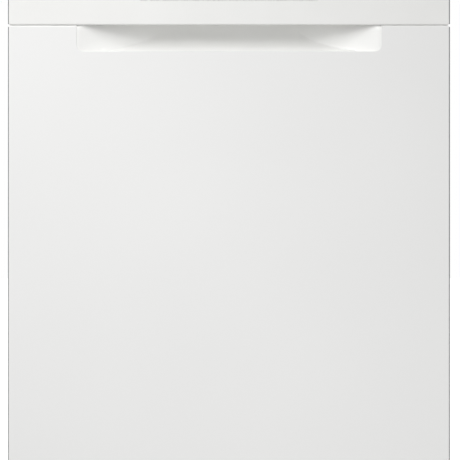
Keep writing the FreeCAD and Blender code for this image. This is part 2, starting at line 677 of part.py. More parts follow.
def rinse_cap():
    """The round cap of the rinse-aid filler, with a grip bar across it."""
    face = f"({GUIDE_FACE} + body_clearance)"
    disc = rod("rinse_disc", "Y", "rinse_radius", RINSE_AT, (face, f"{face} + 4"))
    stub = rod("rinse_stub", "Y", "rinse_neck", RINSE_AT, (f"{GUIDE_FACE} - 7", face))
    bar = block("rinse_bar", span(RINSE_AT[0], "rinse_radius * 0.8"), (f"{face} + 4", f"{face} + 7"),
                span(RINSE_AT[1], 3))
    return fuse("rinse_cap", disc, stub, bar)


def door_latch():
    """The lock behind the top of the liner: a box with a slot that the strike on the tub enters."""
    box = block("latch_box", sides(36), (f"{LINER} - liner_sheet - 28", LINER),
                ("liner_top + 1", f"{DOOR_TOP} - panel_wall - 1"))
    slot = block("latch_slot", sides(22), (f"{LINER} - liner_sheet - 22", f"{LINER} + 1"),
                 ("liner_top + 4", f"{DOOR_TOP} - panel_wall - 4"))
    bolt = rod("latch_bolt", "Z", 3, (15, f"{LINER} - liner_sheet - 17"),
               ("liner_top + 1", f"{DOOR_TOP} - panel_wall - 1"))
    return fuse("door_latch", cut("latch_case", box, slot), bolt)


def hinge_arms():
    """Steel arms inside the door's sides: a strap up the door, an eye on the pivot and a spring lever."""
    across = ("arm_x", "arm_x + hinge_plate")
    strap = block("hinge_strap", across, span(PIVOT_Y, "hinge_half - 2"), (PIVOT_Z, f"{PIVOT_Z} + strap_rise"))
    eye = rod("hinge_eye", "X", "hinge_half", (PIVOT_Y, PIVOT_Z), across)
    lever = block("hinge_lever", across, (PIVOT_Y, f"{PIVOT_Y} + lever_run"), (f"{PIVOT_Z} - hinge_half", PIVOT_Z))
    bore = rod("hinge_bore", "X", "pin_radius + pin_fit", (PIVOT_Y, PIVOT_Z), across)
    tab = block("hinge_tab", ("arm_x + hinge_plate", f"{HALF} - door_sheet"),
                span(PIVOT_Y, "hinge_half - 2"),
                (f"{PIVOT_Z} + strap_rise - hinge_plate", f"{PIVOT_Z} + strap_rise"))
    return both("hinge_arms", cut("hinge_arm", fuse("hinge_arm_blank", strap, eye, lever, tab), bore))


# ================================================================ tub and casing
def tub():
    """Stainless box open at the front: sunken floor between two side ledges, a sill and a turned-out rim."""
    outer = prism("tub_outside", "XZ", rectangle(sides(TUB_HALF), (UNDER_TUB, "tub_top")), (TUB_FRONT, TUB_BACK))
    soften(outer, "tub_corner", lambda edge, at: along(edge, DEEP) and near(at.z, "tub_top"), "outer_corners")
    rim = outline(sketch_on(outer, "XZ", TUB_FRONT, "rim_profile"),
                  rectangle(sides(f"{TUB_HALF} + flange_width"), ("notch_top + 8", "tub_top + flange_width")))
    pad(outer, rim, "tub_sheet", "rim")
    inside = prism("tub_room", "XZ", rectangle(sides(f"{TUB_HALF} - tub_sheet"), (LEDGE, "tub_top - tub_sheet")),
                   (f"{TUB_FRONT} - 1", f"{TUB_BACK} - tub_sheet"))
    soften(inside, "tub_corner - tub_sheet", lambda edge, at: along(edge, DEEP) and at.z > number(LEDGE) + 1,
           "room_corners")
    well = prism("tub_well", "XZ",
                 rectangle(sides(f"{TUB_HALF} - tub_sheet - ledge_width"), (FLOOR, f"{LEDGE} + 1")),
                 (f"{TUB_FRONT} + sill_run", f"{TUB_BACK} - tub_sheet"))
    under = [block("under_ledge", (f"{TUB_HALF} - ledge_width", f"{TUB_HALF} - tub_sheet"),
                   (f"{TUB_FRONT} + sill_run - tub_sheet", f"{TUB_BACK} - tub_sheet"),
                   (f"{UNDER_TUB} - 1", f"{LEDGE} - tub_sheet"))]
    under.append(mirrored("under_ledge_mirrored", under[0]))
    under.append(block("under_sill", sides(f"{TUB_HALF} - tub_sheet"),
                       (f"{TUB_FRONT} + tub_sheet", f"{TUB_FRONT} + sill_run - tub_sheet"),
                       (f"{UNDER_TUB} - 1", f"{LEDGE} - tub_sheet")))
    drain = rod("sump_hole", "Z", "sump_radius - 4", ("sump_x", "sump_y"), (f"{UNDER_TUB} - 1", f"{FLOOR} + 1"))
    salt = rod("salt_hole", "Z", "salt_radius + body_clearance", ("salt_x", "salt_y"),
               (f"{UNDER_TUB} - 1", f"{FLOOR} + 1"))
    whole = cut("tub_shell", outer, inside, well, drain, salt, *under)
    return divided("tub", whole, tub_cells())


def tub_cells():
    """Boxes that part the tub into flat sheets, so that each wall, ledge and edge is a simple solid."""
    wall, high = f"({TUB_HALF} - tub_sheet)", "(tub_top - tub_sheet)"
    round_x, round_z = f"({TUB_HALF} - tub_corner)", "(tub_top - tub_corner)"
    out_x, out_z = f"({TUB_HALF} + flange_width + 1)", "(tub_top + flange_width + 1)"
    low, under_ledge = f"({UNDER_TUB} - 1)", f"({LEDGE} - tub_sheet)"
    ledge_x, step_x = f"({TUB_HALF} - tub_sheet - ledge_width)", f"({TUB_HALF} - ledge_width)"
    lip, back = f"({TUB_FRONT} + tub_sheet)", f"({TUB_BACK} - tub_sheet)"
    rim, shell = (f"{TUB_FRONT} - 1", lip), (lip, back)
    sill, floor_front = f"({TUB_FRONT} + sill_run - tub_sheet)", f"({TUB_FRONT} + sill_run)"
    middle = {
        "rim_top": (sides(round_x), rim, (high, out_z)),
        "rim_bottom": (sides(wall), rim, (low, LEDGE)),
        "ceiling": (sides(round_x), shell, (high, out_z)),
        "back": (sides(out_x), (back, f"{TUB_BACK} + 1"), (low, out_z)),
        "sill": (sides(wall), (lip, floor_front), (under_ledge, LEDGE)),
        "sill_step": (sides(step_x), (sill, floor_front), (low, under_ledge)),
    }
    floor_x = (f"-{ledge_x}", "salt_x", "sump_x", ledge_x)
    floor_y = (floor_front, "sump_y", back)
    for column in range(3):
        for line in range(2):
            middle[f"floor_{column}_{line}"] = (floor_x[column:column + 2], floor_y[line:line + 2],
                                                (low, under_ledge))
    right = {
        "rim_side": ((wall, out_x), rim, (low, round_z)),
        "rim_corner": ((round_x, out_x), rim, (round_z, out_z)),
        "wall": ((wall, out_x), shell, (low, round_z)),
        "corner": ((round_x, out_x), shell, (round_z, out_z)),
        "ledge": ((ledge_x, wall), (floor_front, back), (under_ledge, LEDGE)),
        "ledge_step": ((ledge_x, step_x), (floor_front, back), (low, under_ledge)),
    }
    for name, (x, y, z) in right.items():
        middle[name + "_right"] = (x, y, z)
        middle[name + "_left"] = ((f"-{x[1]}", f"-{x[0]}"), y, z)
    return middle


def door_gasket():
    """The rubber profile between liner and tub rim, up both sides and across the top."""
    wide = f"{TUB_HALF} + flange_width + 1"
    thin = f"{TUB_HALF} + 2"
    body = prism("door_gasket", "XZ", rectangle(sides(wide), ("notch_top + 8", "tub_top + flange_width + 1")),
                 (f"{LINER} + 0.4", TUB_FRONT))
    hollow(body, "XZ", rectangle(sides(thin), ("notch_top + 7", "tub_top + 2")),
           (f"{LINER} + 0.4", TUB_FRONT), "mouth")
    soften(body, 1.5, lambda edge, at: near(at.y, f"{LINER} + 0.4") and near(abs(at.x), wide), "bulb")
    return body


def side_panel(label, way):
    """A galvanised side sheet with a front flange, felt glued inside it behind the tub wall."""
    sheet_side = block(label + "_sheet", (f"{CASE_HALF} - case_sheet", CASE_HALF),
                       (f"{TUB_FRONT} + 3", f"{BACK} - 2"), ("case_low", DOOR_TOP + " - 2"))
    flange = block(label + "_flange", (f"{CASE_HALF} - case_flange", CASE_HALF),
                   (f"{TUB_FRONT} + 3", f"{TUB_FRONT} + 3 + case_sheet"), ("notch_top + 12", DOOR_TOP + " - 2"))
    rear = block(label + "_rear", (f"{CASE_HALF} - case_flange", CASE_HALF),
                 (f"{BACK} - 2 - case_sheet", f"{BACK} - 2"), ("base_top + 4", DOOR_TOP + " - 2"))
    panel = fuse(label if way > 0 else label + "_right", sheet_side, flange, rear)
    return panel if way > 0 else mirrored(label, panel)


def insulation_blanket():
    """Bitumen felt over the tub: both sides and the top in one saddle."""
    outer = prism("blanket_outside", "XZ",
                  rectangle(sides(f"{TUB_HALF} + 1 + felt"), ("felt_low", "tub_top + 1 + felt")),
                  (f"{TUB_FRONT} + 12", f"{TUB_BACK} - 6"))
    soften(outer, "tub_corner + felt", lambda edge, at: along(edge, DEEP) and near(at.z, "tub_top + 1 + felt"),
           "outer_corners")
    inner = prism("blanket_inside", "XZ",
                  rectangle(sides(f"{TUB_HALF} + body_clearance"), ("felt_low - 1", "tub_top + body_clearance")),
                  (f"{TUB_FRONT} + 11", TUB_BACK))
    soften(inner, "tub_corner", lambda edge, at: along(edge, DEEP)
           and near(at.z, "tub_top + body_clearance"), "inner_corners")
    return cut("insulation_blanket", outer, inner)


def top_frame():
    """Steel braces across the top with four slotted tabs for the screws into the worktop."""
    top = "overall_height"
    thick = "brace_sheet"
    bars = []
    for label, at in (("front", f"{TUB_FRONT} + 5"), ("rear", f"{TUB_BACK} - brace_depth")):
        flat = block(label + "_brace", sides(f"{CASE_HALF} - case_sheet"), (at, f"{at} + brace_depth"),
                     (f"{top} - {thick}", top))
        web = block(label + "_web", sides(f"{CASE_HALF} - case_sheet"), (at, f"{at} + {thick}"),
                    (f"{top} - brace_height", top))
        bars += [flat, web]
    for label, low in (("left", f"-({CASE_HALF} - case_sheet)"), ("right", f"{CASE_HALF} - case_sheet - 20")):
        bars.append(block(label + "_rail", (low, f"{low} + 20"), (f"{TUB_FRONT} + 5", TUB_BACK),
                          (f"{top} - {thick}", top)))
    holes = [rod(f"worktop_hole_{n}", "Z", 2.6, (x, y), (f"{top} - 2", f"{top} + 1"))
             for n, (x, y) in enumerate((x, y) for x in ("-(tub_width / 2 - 50)", "tub_width / 2 - 50")
                                        for y in (f"{TUB_FRONT} + 25", f"{TUB_BACK} - brace_depth / 2"))]
    return cut("top_frame", fuse("top_frame_bars", *bars), *holes)


def latch_strike():
    """The steel tongue on the front brace that the door's lock closes over."""
    low, high = "overall_height - 14.3", "overall_height - 12.7"
    tongue = block("strike_tongue", sides(14), (f"{LINER} - 16", f"{TUB_FRONT} + 5"), (low, high))
    hole = block("strike_hole", ("8", "22"), (f"{LINER} - 17", f"{LINER} - 8"), (f"{low} - 1", f"{high} + 1"))
    foot = block("strike_foot", sides(24), (f"{TUB_FRONT} + 3.4", f"{TUB_FRONT} + 5"),
                 (low, "overall_height - 4"))
    return fuse("latch_strike", cut("strike_blade", tongue, hole), foot)


FEET = {
    "foot_front_left": ("-foot_x", "foot_front"),
    "foot_front_right": ("foot_x", "foot_front"),
    "foot_rear_left": ("-foot_x", "foot_rear"),
    "foot_rear_right": ("foot_x", "foot_rear"),
}


def base_tray():
    """The moulded base: floor, four walls, bosses for the feet and posts that carry the tub."""
    body = prism("base_tray_shell", "XY", rectangle(sides(BASE_HALF), (BASE_FRONT, f"{BACK} - 4")),
                 ("base_low", "base_top"))
    soften(body, 6, lambda edge, at: along(edge, UP), "outer_corners")
    hollow(body, "XY", rectangle(sides(f"{BASE_HALF} - base_wall"),
                                 (f"{BASE_FRONT} + base_wall", f"{BACK} - 4 - base_wall")),
           ("base_low + base_wall", "base_top"), "tray")
    extras, bores = [], []
    for label, (x, y) in FEET.items():
        extras.append(rod(label + "_boss", "Z", "spindle_radius + spindle_fit + boss_wall", (x, y),
                          ("base_low", "base_low + foot_travel + 15")))
        bores.append(rod(label + "_bore", "Z", "spindle_radius + spindle_fit", (x, y),
                         ("base_low - 1", "base_low + foot_travel + 16")))
    for n, (x, y) in enumerate((x, y) for x in ("-post_x", "post_x") for y in ("post_front", "post_rear")):
        extras.append(block(f"tub_post_{n}", span(x, 12), span(y, 12), ("base_low", UNDER_TUB)))
    wheel_line = f"{TUB_HALF} - ledge_width + 4"
    for n, x in enumerate((f"-({wheel_line})", wheel_line)):
        extras.append(block(f"ledge_wall_{n}", span(x, 2), ("foot_front + 60", "foot_rear - 40"),
                            ("base_low", f"{LEDGE} - tub_sheet")))
    bores.append(rod("inlet_bore", "Y", 15, ("inlet_x", "port_level"), (f"{BACK} - 12", f"{BACK} + 1")))
    bores.append(rod("mains_bore", "Y", 8.2, ("gland_x", "port_level"), (f"{BACK} - 12", f"{BACK} + 1")))
    bores.append(rod("drain_bore", "Y", 11, ("drain_x", "port_level + 20"), (f"{BACK} - 12", f"{BACK} + 1")))
    return cut("base_tray", fuse("base_tray_solid", body, *extras), *bores)


def foot(label, x, y):
    """A levelling foot: pad on the floor, hexagon collar and a spindle in the base's boss."""
    pad_disc = rod(label + "_pad", "Z", "foot_radius", (x, y), ("0", "foot_pad"))
    collar = rod(label + "_collar", "Z", "foot_radius * 0.6", (x, y), ("foot_pad", "base_low - 4"))
    spindle = rod(label + "_spindle", "Z", "spindle_radius", (x, y), ("foot_pad", "base_low + foot_travel + 8"))
    return fuse(label, pad_disc, collar, spindle)


def kick_plate():
    """Painted sheet in front of the base, with a turned-back lower edge."""
    face = f"{BASE_FRONT} - plinth_sheet"
    body = prism("kick_plate", "XZ", rectangle(sides(f"{CASE_HALF} - 4"), ("plinth_low", "plinth_high")),
                 (face, BASE_FRONT))
    return body


def hinge_brackets():
    """Steel brackets bolted inside the base, each with the pin a door arm turns on."""
    plate = block("bracket_plate", ("bracket_x", "bracket_x + hinge_plate"),
                  (f"{PIVOT_Y} - hinge_half", f"{PIVOT_Y} - hinge_half + bracket_run"),
                  (f"{PIVOT_Z} - hinge_half", f"{PIVOT_Z} + hinge_half"))
    pin = rod("bracket_pin", "X", "pin_radius", (PIVOT_Y, PIVOT_Z),
              ("arm_x - 2", "bracket_x + hinge_plate"))
    foot_tab = block("bracket_foot", ("bracket_x", f"{BASE_HALF} - base_wall"),
                     (f"{BASE_FRONT} + 12", f"{PIVOT_Y} - hinge_half + bracket_run"),
                     ("base_top - hinge_plate - 12", "base_top - 12"))
    web = block("bracket_web", ("bracket_x", "bracket_x + hinge_plate"),
                (f"{BASE_FRONT} + 12", f"{PIVOT_Y} - hinge_half + bracket_run"),
                ("base_top - hinge_plate - 12", f"{PIVOT_Z}"))
    return both("hinge_brackets", fuse("hinge_bracket", plate, pin, foot_tab, web))


# ================================================================ water parts in the base
WELL_LOW = "(base_low + 22)"


def sump():
    """The moulded sump under the tub's floor: a bowl with a drain, a pump seat and a clamping rim."""
    bowl = rod("sump_bowl", "Z", "sump_radius", ("sump_x", "sump_y"), (WELL_LOW, UNDER_TUB))
    collar = rod("sump_collar", "Z", "sump_radius - 4 - body_clearance", ("sump_x", "sump_y"), (UNDER_TUB, FLOOR))
    room = rod("sump_room", "Z", "sump_radius - 7", ("sump_x", "sump_y"), (f"{WELL_LOW} + 3", f"{FLOOR} + 1"))
    elbow = rod("sump_outlet", "Y", 14, ("sump_x", f"{WELL_LOW} + 22"), ("sump_y - sump_radius - 24", "sump_y"))
    return cut("sump", fuse("sump_solid", bowl, collar, elbow), room)


def filter_plate():
    """The fine stainless sieve that lies over the sump, with a hole for the filter cylinder."""
    disc = rod("sieve_disc", "Z", "sump_radius + 8", ("sump_x", "sump_y"), (FLOOR, f"{FLOOR} + 1.5"))
    hole = rod("sieve_hole", "Z", "filter_radius + body_clearance", ("sump_x", "sump_y"),
               (f"{FLOOR} - 1", f"{FLOOR} + 3"))
    return cut("filter_plate", disc, hole)


def filter_cylinder():
    """The filter that is twisted out by hand: a sleeve, a floor and a cross bar for the fingers."""
    low = f"{FLOOR} - 42"
    sleeve = rod("filter_sleeve", "Z", "filter_radius", ("sump_x", "sump_y"), (low, f"{FLOOR} + 8"))
    room = rod("filter_room", "Z", "filter_radius - 2.5", ("sump_x", "sump_y"), (f"{low} + 3", f"{FLOOR} + 9"))
    bar = block("filter_bar", span("sump_x", "(filter_radius - 1)"), span("sump_y", 3),
                (f"{FLOOR} - 4", f"{FLOOR} + 8"))
    return fuse("filter_cylinder", cut("filter_cup", sleeve, room), bar)


def circulation_pump():
    """The pump beside the sump: volute, motor and a bore the impeller turns in."""
    x, z = "sump_x", f"({WELL_LOW} + 22)"
    low = "sump_y - sump_radius - 24"
    volute = rod("pump_volute", "Y", 34, (x, f"{z} + 6"), (f"{low} - 26", f"{low} - body_clearance"))
    motor = rod("pump_motor", "Y", 28, (x, f"{z} + 6"), (f"{low} - 96", f"{low} - 26"))
    room = rod("pump_room", "Y", 25, (x, f"{z} + 6"), (f"{low} - 23", f"{low} + 1"))
    shaft = rod("pump_shaft_bore", "Y", "axle_radius + axle_fit", (x, f"{z} + 6"), (f"{low} - 60", f"{low} - 20"))
    outlet = rod("pump_outlet", "Z", 9, (x, f"{low} - 13"), (f"{z} + 30", f"{UNDER_TUB} - 1"))
    return cut("circulation_pump", fuse("pump_solid", volute, motor, outlet), room, shaft)


def pump_impeller():
    """A hub with six straight vanes on a shaft."""
    x, z = "sump_x", f"({WELL_LOW} + 28)"
    low = "sump_y - sump_radius - 24"
    hub = rod("impeller_hub", "Y", 8, (x, z), (f"{low} - 19", f"{low} - 5"))
    shaft = rod("impeller_shaft", "Y", "axle_radius", (x, z), (f"{low} - 58", f"{low} - 5"))
    disc = rod("impeller_disc", "Y", 22, (x, z), (f"{low} - 19", f"{low} - 17"))
    vanes = []
    for n in range(3):
        vane = doc.addObject("Part::Box", f"impeller_vane_{n}")
        vane.Length, vane.Width, vane.Height = 44, 10, 1.6
        turn = FreeCAD.Rotation(vec(0, 1, 0), 60 * n)
        vane.Placement = FreeCAD.Placement(turn.multVec(vec(-22, 0, -0.8)), turn)
        vanes.append(put(vane, f"{x} + {turn.multVec(vec(-22, 0, -0.8)).x}", f"{low} - 18",
                         f"{z} + {turn.multVec(vec(-22, 0, -0.8)).z}"))
    return fuse("pump_impeller", hub, shaft, disc, *vanes)


def drain_pump():
    """The small pump that empties the sump, with the spigot for the drain hose through the back."""
    x, y, z = "drain_x", "sump_y + sump_radius + 40", "(port_level + 20)"
    case = rod("drain_case", "Y", 24, (x, z), (f"{y} - 30", f"{y} + 20"))
    foot_block = block("drain_foot", span(x, 16), (f"{y} - 20", f"{y} + 10"), ("base_low + base_wall", z))
    spigot = rod("drain_spigot", "Y", 10, (x, z), (f"{y} + 20", f"{BACK} - 1"))
    bore = rod("drain_way", "Y", 8, (x, z), (f"{y} + 10", BACK))
    return cut("drain_pump", fuse("drain_solid", case, foot_block, spigot), bore)


def softener():
    """The water softener under the tub, with the neck its salt cap screws into."""
    box = block("softener_box", span("salt_x", 60), span("salt_y", 80),
                ("base_low + base_wall", f"{UNDER_TUB} - 14"))
    neck = rod("softener_neck", "Z", "salt_radius - 1", ("salt_x", "salt_y"),
               (f"{UNDER_TUB} - 14", f"{FLOOR} - 0.7"))
    room = rod("softener_room", "Z", "salt_radius - 5", ("salt_x", "salt_y"), ("base_low + 20", FLOOR))
    return cut("softener", fuse("softener_solid", box, neck), room)


def salt_cap():
    """The round cap in the tub's floor over the salt container, with a grip bar."""
    disc = rod("salt_disc", "Z", "salt_radius", ("salt_x", "salt_y"), (f"{FLOOR} - 0.7", f"{FLOOR} + 5"))
    bar = block("salt_bar", span("salt_x", "salt_radius * 0.7"), span("salt_y", 3),
                (f"{FLOOR} + 5", f"{FLOOR} + 10"))
    return fuse("salt_cap", disc, bar)


def inlet_valve():
    """The solenoid valve inside the back of the base, with its threaded water inlet."""
    case = block("valve_case", ("inlet_x - 20", "inlet_x + 18"), (f"{BACK} - 70", f"{BACK} - 20"),
                 ("base_low + base_wall", "port_level + 30"))
    inlet = rod("valve_inlet", "Y", 13.2, ("inlet_x", "port_level"), (f"{BACK} - 21", f"{BACK} - 0.5"))
    bore = rod("valve_bore", "Y", 9, ("inlet_x", "port_level"), (f"{BACK} - 40", BACK))
    return cut("inlet_valve", fuse("valve_solid", case, inlet), bore)


def mains_gland():
    """The strain relief the mains cord leaves through, in the back of the base."""
    body = rod("gland_body", "Y", 8, ("gland_x", "port_level"), (f"{BACK} - 20", f"{BACK} - 1"))
    head = rod("gland_head", "Y", 12, ("gland_x", "port_level"), (f"{BACK} - 20", f"{BACK} - 9"))
    bore = rod("gland_bore", "Y", 4, ("gland_x", "port_level"), (f"{BACK} - 21", BACK))
    return cut("mains_gland", fuse("gland_solid", body, head), bore)


def air_break():
    """The clear water-guide box on the left side of the tub, between tub and casing."""
    low, high = f"-({TUB_HALF} + 1 + felt + 0.5)", f"-({CASE_HALF} - case_sheet - 0.5)"
    box = block("air_break_box", (high, low), ("arm_y - 74", "arm_y + 156"), ("felt_low + 60", "felt_low + 460"))
    ribs = [block(f"air_break_cut_{n}", (f"{high} - 1", f"{high} + 3"), ("arm_y - 64", "arm_y + 146"),
                  (f"felt_low + 80 + {n} * 62", f"felt_low + 130 + {n} * 62")) for n in range(6)]
    return cut("air_break", box, *ribs)


# ================================================================ spray arms and feed
def spray_hub():
    """The bearing on the tub's floor that feeds and carries the lower spray arm."""
    post = cone("hub_post", "Z", (22, 15), (0, "arm_y"), (FLOOR, f"{ARM_LOW} - body_clearance"))
    pin = rod("hub_pin", "Z", "arm_pin", (0, "arm_y"), (FLOOR, f"{ARM_LOW} + arm_thick - 3"))
    return fuse("spray_hub", post, pin)


def spray_arm(label, low, reach, side):
    """A flat tapered arm with a round hub, a blind bearing on one side and two lines of nozzles."""
    half = "arm_width / 2"
    body = prism(label + "_blade", "XY",
                 [(0, f"arm_y - {half}"), (reach, f"arm_y - {half} * 0.55"), (reach, f"arm_y + {half} * 0.55"),
                  (0, f"arm_y + {half}"), (f"-{reach}", f"arm_y + {half} * 0.55"),
                  (f"-{reach}", f"arm_y - {half} * 0.55")],
                 (low, f"{low} + arm_thick"))
    soften(body, 9, lambda edge, at: along(edge, UP) and near(abs(at.x), reach), "tips")
    soften(body, 3, lambda edge, at: at.z < number(low) + 0.01 or at.z > number(f"{low} + arm_thick") - 0.01,
           "edges")
    nozzles = sketch_on(body, "XY", f"{low} + arm_thick - 2", "nozzle_profile")
    circles(nozzles, [(f"{way} * {reach} * {part}", f"arm_y + {way} * {half} * {offset}", 2.2)
                      for way in (-1, 1) for part, offset in ((0.3, 0.4), (0.5, -0.3), (0.7, 0.2), (0.88, -0.1))])
    pocket(body, nozzles, 2, "nozzles")
    hub = rod(label + "_hub", "Z", "arm_width / 2 + 3", (0, "arm_y"), (low, f"{low} + arm_thick"))
    start, end = f"{low} + 2.7", f"{low} + arm_thick + 1"
    if side < 0:
        start, end = f"{low} - 1", f"{low} + arm_thick - 2.7"
    bearing = rod(label + "_bearing", "Z", "arm_pin + axle_fit", (0, "arm_y"), (start, end))
    return cut(label, fuse(label + "_solid", body, hub), bearing)


UPPER_ARM_LOW = "(upper_level - 43)"
TUBE_Z = "(upper_level - 16)"


def spray_feed_tube():
    """The tube under the upper rack that carries its spray arm and docks on the duct at the back."""
    tube = rod("feed_tube", "Y", "tube_radius", (0, TUBE_Z), ("arm_y", f"{TUB_BACK} - duct_depth - 3"))
    way = rod("feed_way", "Y", "tube_radius - 2", (0, TUBE_Z), ("arm_y + 12", f"{TUB_BACK} - duct_depth - 2"))
    drop = rod("feed_drop", "Z", "tube_radius + 5", (0, "arm_y"),
               (f"{UPPER_ARM_LOW} + arm_thick + body_clearance", TUBE_Z))
    pin = rod("feed_pin", "Z", "arm_pin", (0, "arm_y"), (f"{UPPER_ARM_LOW} + 3", TUBE_Z))
    straps = [block(f"feed_strap_{n}", span(0, 9), span(y, 5), (TUBE_Z, "upper_level - wire / 2"))
              for n, y in enumerate(("40", "180"))]
    return fuse("spray_feed_tube", cut("feed_tube_hollow", tube, way), drop, pin, *straps)


def feed_pipe():
    """The duct up the tub's back wall, its docking mouth and the run to the sprayer in the ceiling."""
    inner_back = f"{TUB_BACK} - tub_sheet"
    top = "tub_top - tub_sheet"
    riser = block("duct_riser", span(0, "duct_width / 2"), (f"{inner_back} - duct_depth", inner_back),
                  (FLOOR, top))
    run = block("duct_run", span(0, "duct_width / 2"), ("arm_y", inner_back), (f"{top} - duct_depth", top))
    dock = cone("duct_dock", "Y", ("tube_radius", "tube_radius + 4"), (0, TUBE_Z),
                (f"{inner_back} - duct_depth - 1.4", f"{inner_back} - duct_depth"))
    head = rod("sprayer_head", "Z", 42, (0, "arm_y"), (f"{top} - duct_depth - 10", top))
    nozzles = [rod(f"sprayer_nozzle_{n}", "Z", 2.5,
                   (f"26 * {math.cos(math.radians(60 * n)):.6f}", f"arm_y + 26 * {math.sin(math.radians(60 * n)):.6f}"),
                   (f"{top} - duct_depth - 11", f"{top} - duct_depth - 7")) for n in range(6)]
    return cut("feed_pipe", fuse("feed_pipe_solid", riser, run, dock, head), *nozzles)


# ================================================================ rails of the upper rack
RAIL_Y = (f"{TUB_FRONT} + sill_run", "rail_end")
TUB_INSIDE = f"({TUB_HALF} - tub_sheet)"


def channel(label, outside, depth, low, high):
    """A channel along Y, open towards the middle of the tub: a web and two flanges that touch it."""
    web = block(label + "_web", (f"{outside} - rail_sheet", outside), RAIL_Y, (low, high))
    flanges = [block(f"{label}_{name}", (f"{outside} - {depth}", f"{outside} - rail_sheet"), RAIL_Y, level)
               for name, level in (("lower_flange", (low, f"{low} + rail_sheet")),
                                   ("upper_flange", (f"{high} - rail_sheet", high)))]
    return group(label + "_right", web, *flanges)


def outer_rails():
    return both("outer_rails", channel("outer_rail", TUB_INSIDE, "rail_depth",
                                       "rail_level", "rail_level + rail_height"))


def inner_rails():
    inset = "(rail_sheet + body_clearance)"
    return both("inner_rails", channel("inner_rail", f"({TUB_INSIDE} - {inset})", f"(rail_depth - {inset} - 2)",
                                       f"(rail_level + {inset})", f"(rail_level + rail_height - {inset})"))


ROLLER_OUT = "(tub_width / 2 - tub_sheet - 2 * rail_sheet - 2 * body_clearance)"
ROLLER_Z = "(rail_level + rail_height / 2)"
ROLLER_RADIUS = "(rail_height / 2 - 2 * rail_sheet - 2 * body_clearance)"


def pair_of_wheels(label, radius, inner, outer, y, z, groove):
    """Two wheels on one line, each with a bore for its axle and a grooved tread."""
    wheel = rod(label + "_disc", "X", radius, (y, z), (inner, outer))
    bore = rod(label + "_bore", "X", "axle_radius + axle_fit", (y, z), (f"{inner} - 1", f"{outer} + 1"))
    tools = [bore]
    if groove:
        ring = rod(label + "_ring", "X", f"{radius} * 0.7", (y, z), (f"{outer} - 2", f"{outer} + 1"))
        core = rod(label + "_core", "X", f"{radius} * 0.4", (y, z), (f"{outer} - 2", f"{outer} + 1"))
        tools.append(cut(label + "_dish", ring, core))
    return both(label, cut(label + "_right", wheel, *tools))


# ================================================================ racks
def spread(low, high, pitch):
    """Evenly spaced places from low to high, as near to the pitch as they divide."""
    gaps = max(1, round((high - low) / pitch))
    return [low + (high - low) * n / gaps for n in range(gaps + 1)]


def rack_sizes(level, height):
    names = {"half": "rack_half", "front": "rack_front", "back": "rack_back", "level": level, "height": height,
             "thin": "wire / 2", "thick": "rim_wire / 2", "bend": "bend", "pitch": "tine_pitch"}
    size = {name: number(text) for name, text in names.items()}
    size["side"] = size["half"] - size["thin"] - size["thick"] + 0.5
    size["near"] = size["front"] + size["thin"] + size["thick"] - 0.5
    size["far"] = size["back"] - size["thin"] - size["thick"] + 0.5
    size["cross"] = size["level"] + 2 * size["thin"] - 1
    size["top"] = size["level"] + size["height"]
    margin = size["bend"] + 10
    size["columns"] = spread(-size["side"] + margin, size["side"] - margin, size["pitch"])
    size["lines"] = spread(size["near"] + margin, size["far"] - margin, size["pitch"])
    return size


def basket(size, rims):
    """U-shaped wires both ways, welded where they cross, with rims around the outside."""
    parts = []
    for x in size["columns"]:
        parts.append(pipe([(x, size["near"], size["top"]), (x, size["near"], size["level"]),
                           (x, size["far"], size["level"]), (x, size["far"], size["top"])],
                          size["thin"], size["bend"]))
    for y in size["lines"]:
        parts.append(pipe([(-size["side"], y, size["top"]), (-size["side"], y, size["cross"]),
                           (size["side"], y, size["cross"]), (size["side"], y, size["top"])],
                          size["thin"], size["bend"]))
    for z in rims:
        parts.append(ring_of_wire(size["half"], (size["front"], size["back"]), z, size["thick"],
                                  size["bend"] + size["thick"]))
    return parts


def lug(x, y, z, shaft, width, foot):
    """A small clip with a bore along X or Y for a folding piece's shaft."""
    reach = shaft + 4
    clip = Part.makeBox(width, 2 * reach, z + reach - foot, vec(x - width / 2, y - reach, foot))
    return clip.cut(Part.makeCylinder(shaft + number("axle_fit"), width + 2, vec(x - width / 2 - 1, y, z),
                                      vec(1, 0, 0)))


def box_between(x, y, z):
    return Part.makeBox(x[1] - x[0], y[1] - y[0], z[1] - z[0], vec(x[0], y[0], z[0]))


def rack_cells(size, carrier):
    """Boxes that part a rack into its floor, bends, walls and corners, so that each is a simple solid."""
    wire, bend, rim = size["thin"], size["bend"], size["half"] + size["thick"]
    wall, turn = size["side"] - wire, size["side"] - bend
    front, rear = size["near"] + bend, size["far"] - bend
    out_x, out_y = rim + 60, (size["front"] - 60, size["back"] + 60)
    low, mesh, bent, high = size["level"] - 30, size["cross"] + wire, size["cross"] + bend, size["top"] + 10
    knee = (size["level"] + size["cross"]) / 2 + 0.3 * bend
    halves = ((low, knee), (knee, bent))
    across, deep = (-turn, turn), (front, rear)
    cells = [box_between(across, deep, (low, mesh)), box_between(across, deep, (mesh, high))]
    for y in ((out_y[0], front), (rear, out_y[1])):
        cells += [box_between(across, y, z) for z in (*halves, (bent, high))]
    steps = [turn, wall, rim, rim + carrier, out_x]
    for near_x, far_x in zip(steps, steps[1:]):
        for x in ((near_x, far_x), (-far_x, -near_x)):
            cells.append(box_between(x, deep, (bent, high)))
    for x in ((turn, out_x), (-out_x, -turn)):
        cells += [box_between(x, out_y, z) for z in halves]
        for y in ((out_y[0], front), (rear, out_y[1])):
            cells.append(box_between(x, y, (bent, high)))
    return cells


def welded(parts):
    return parts[0].multiFuse(parts[1:])


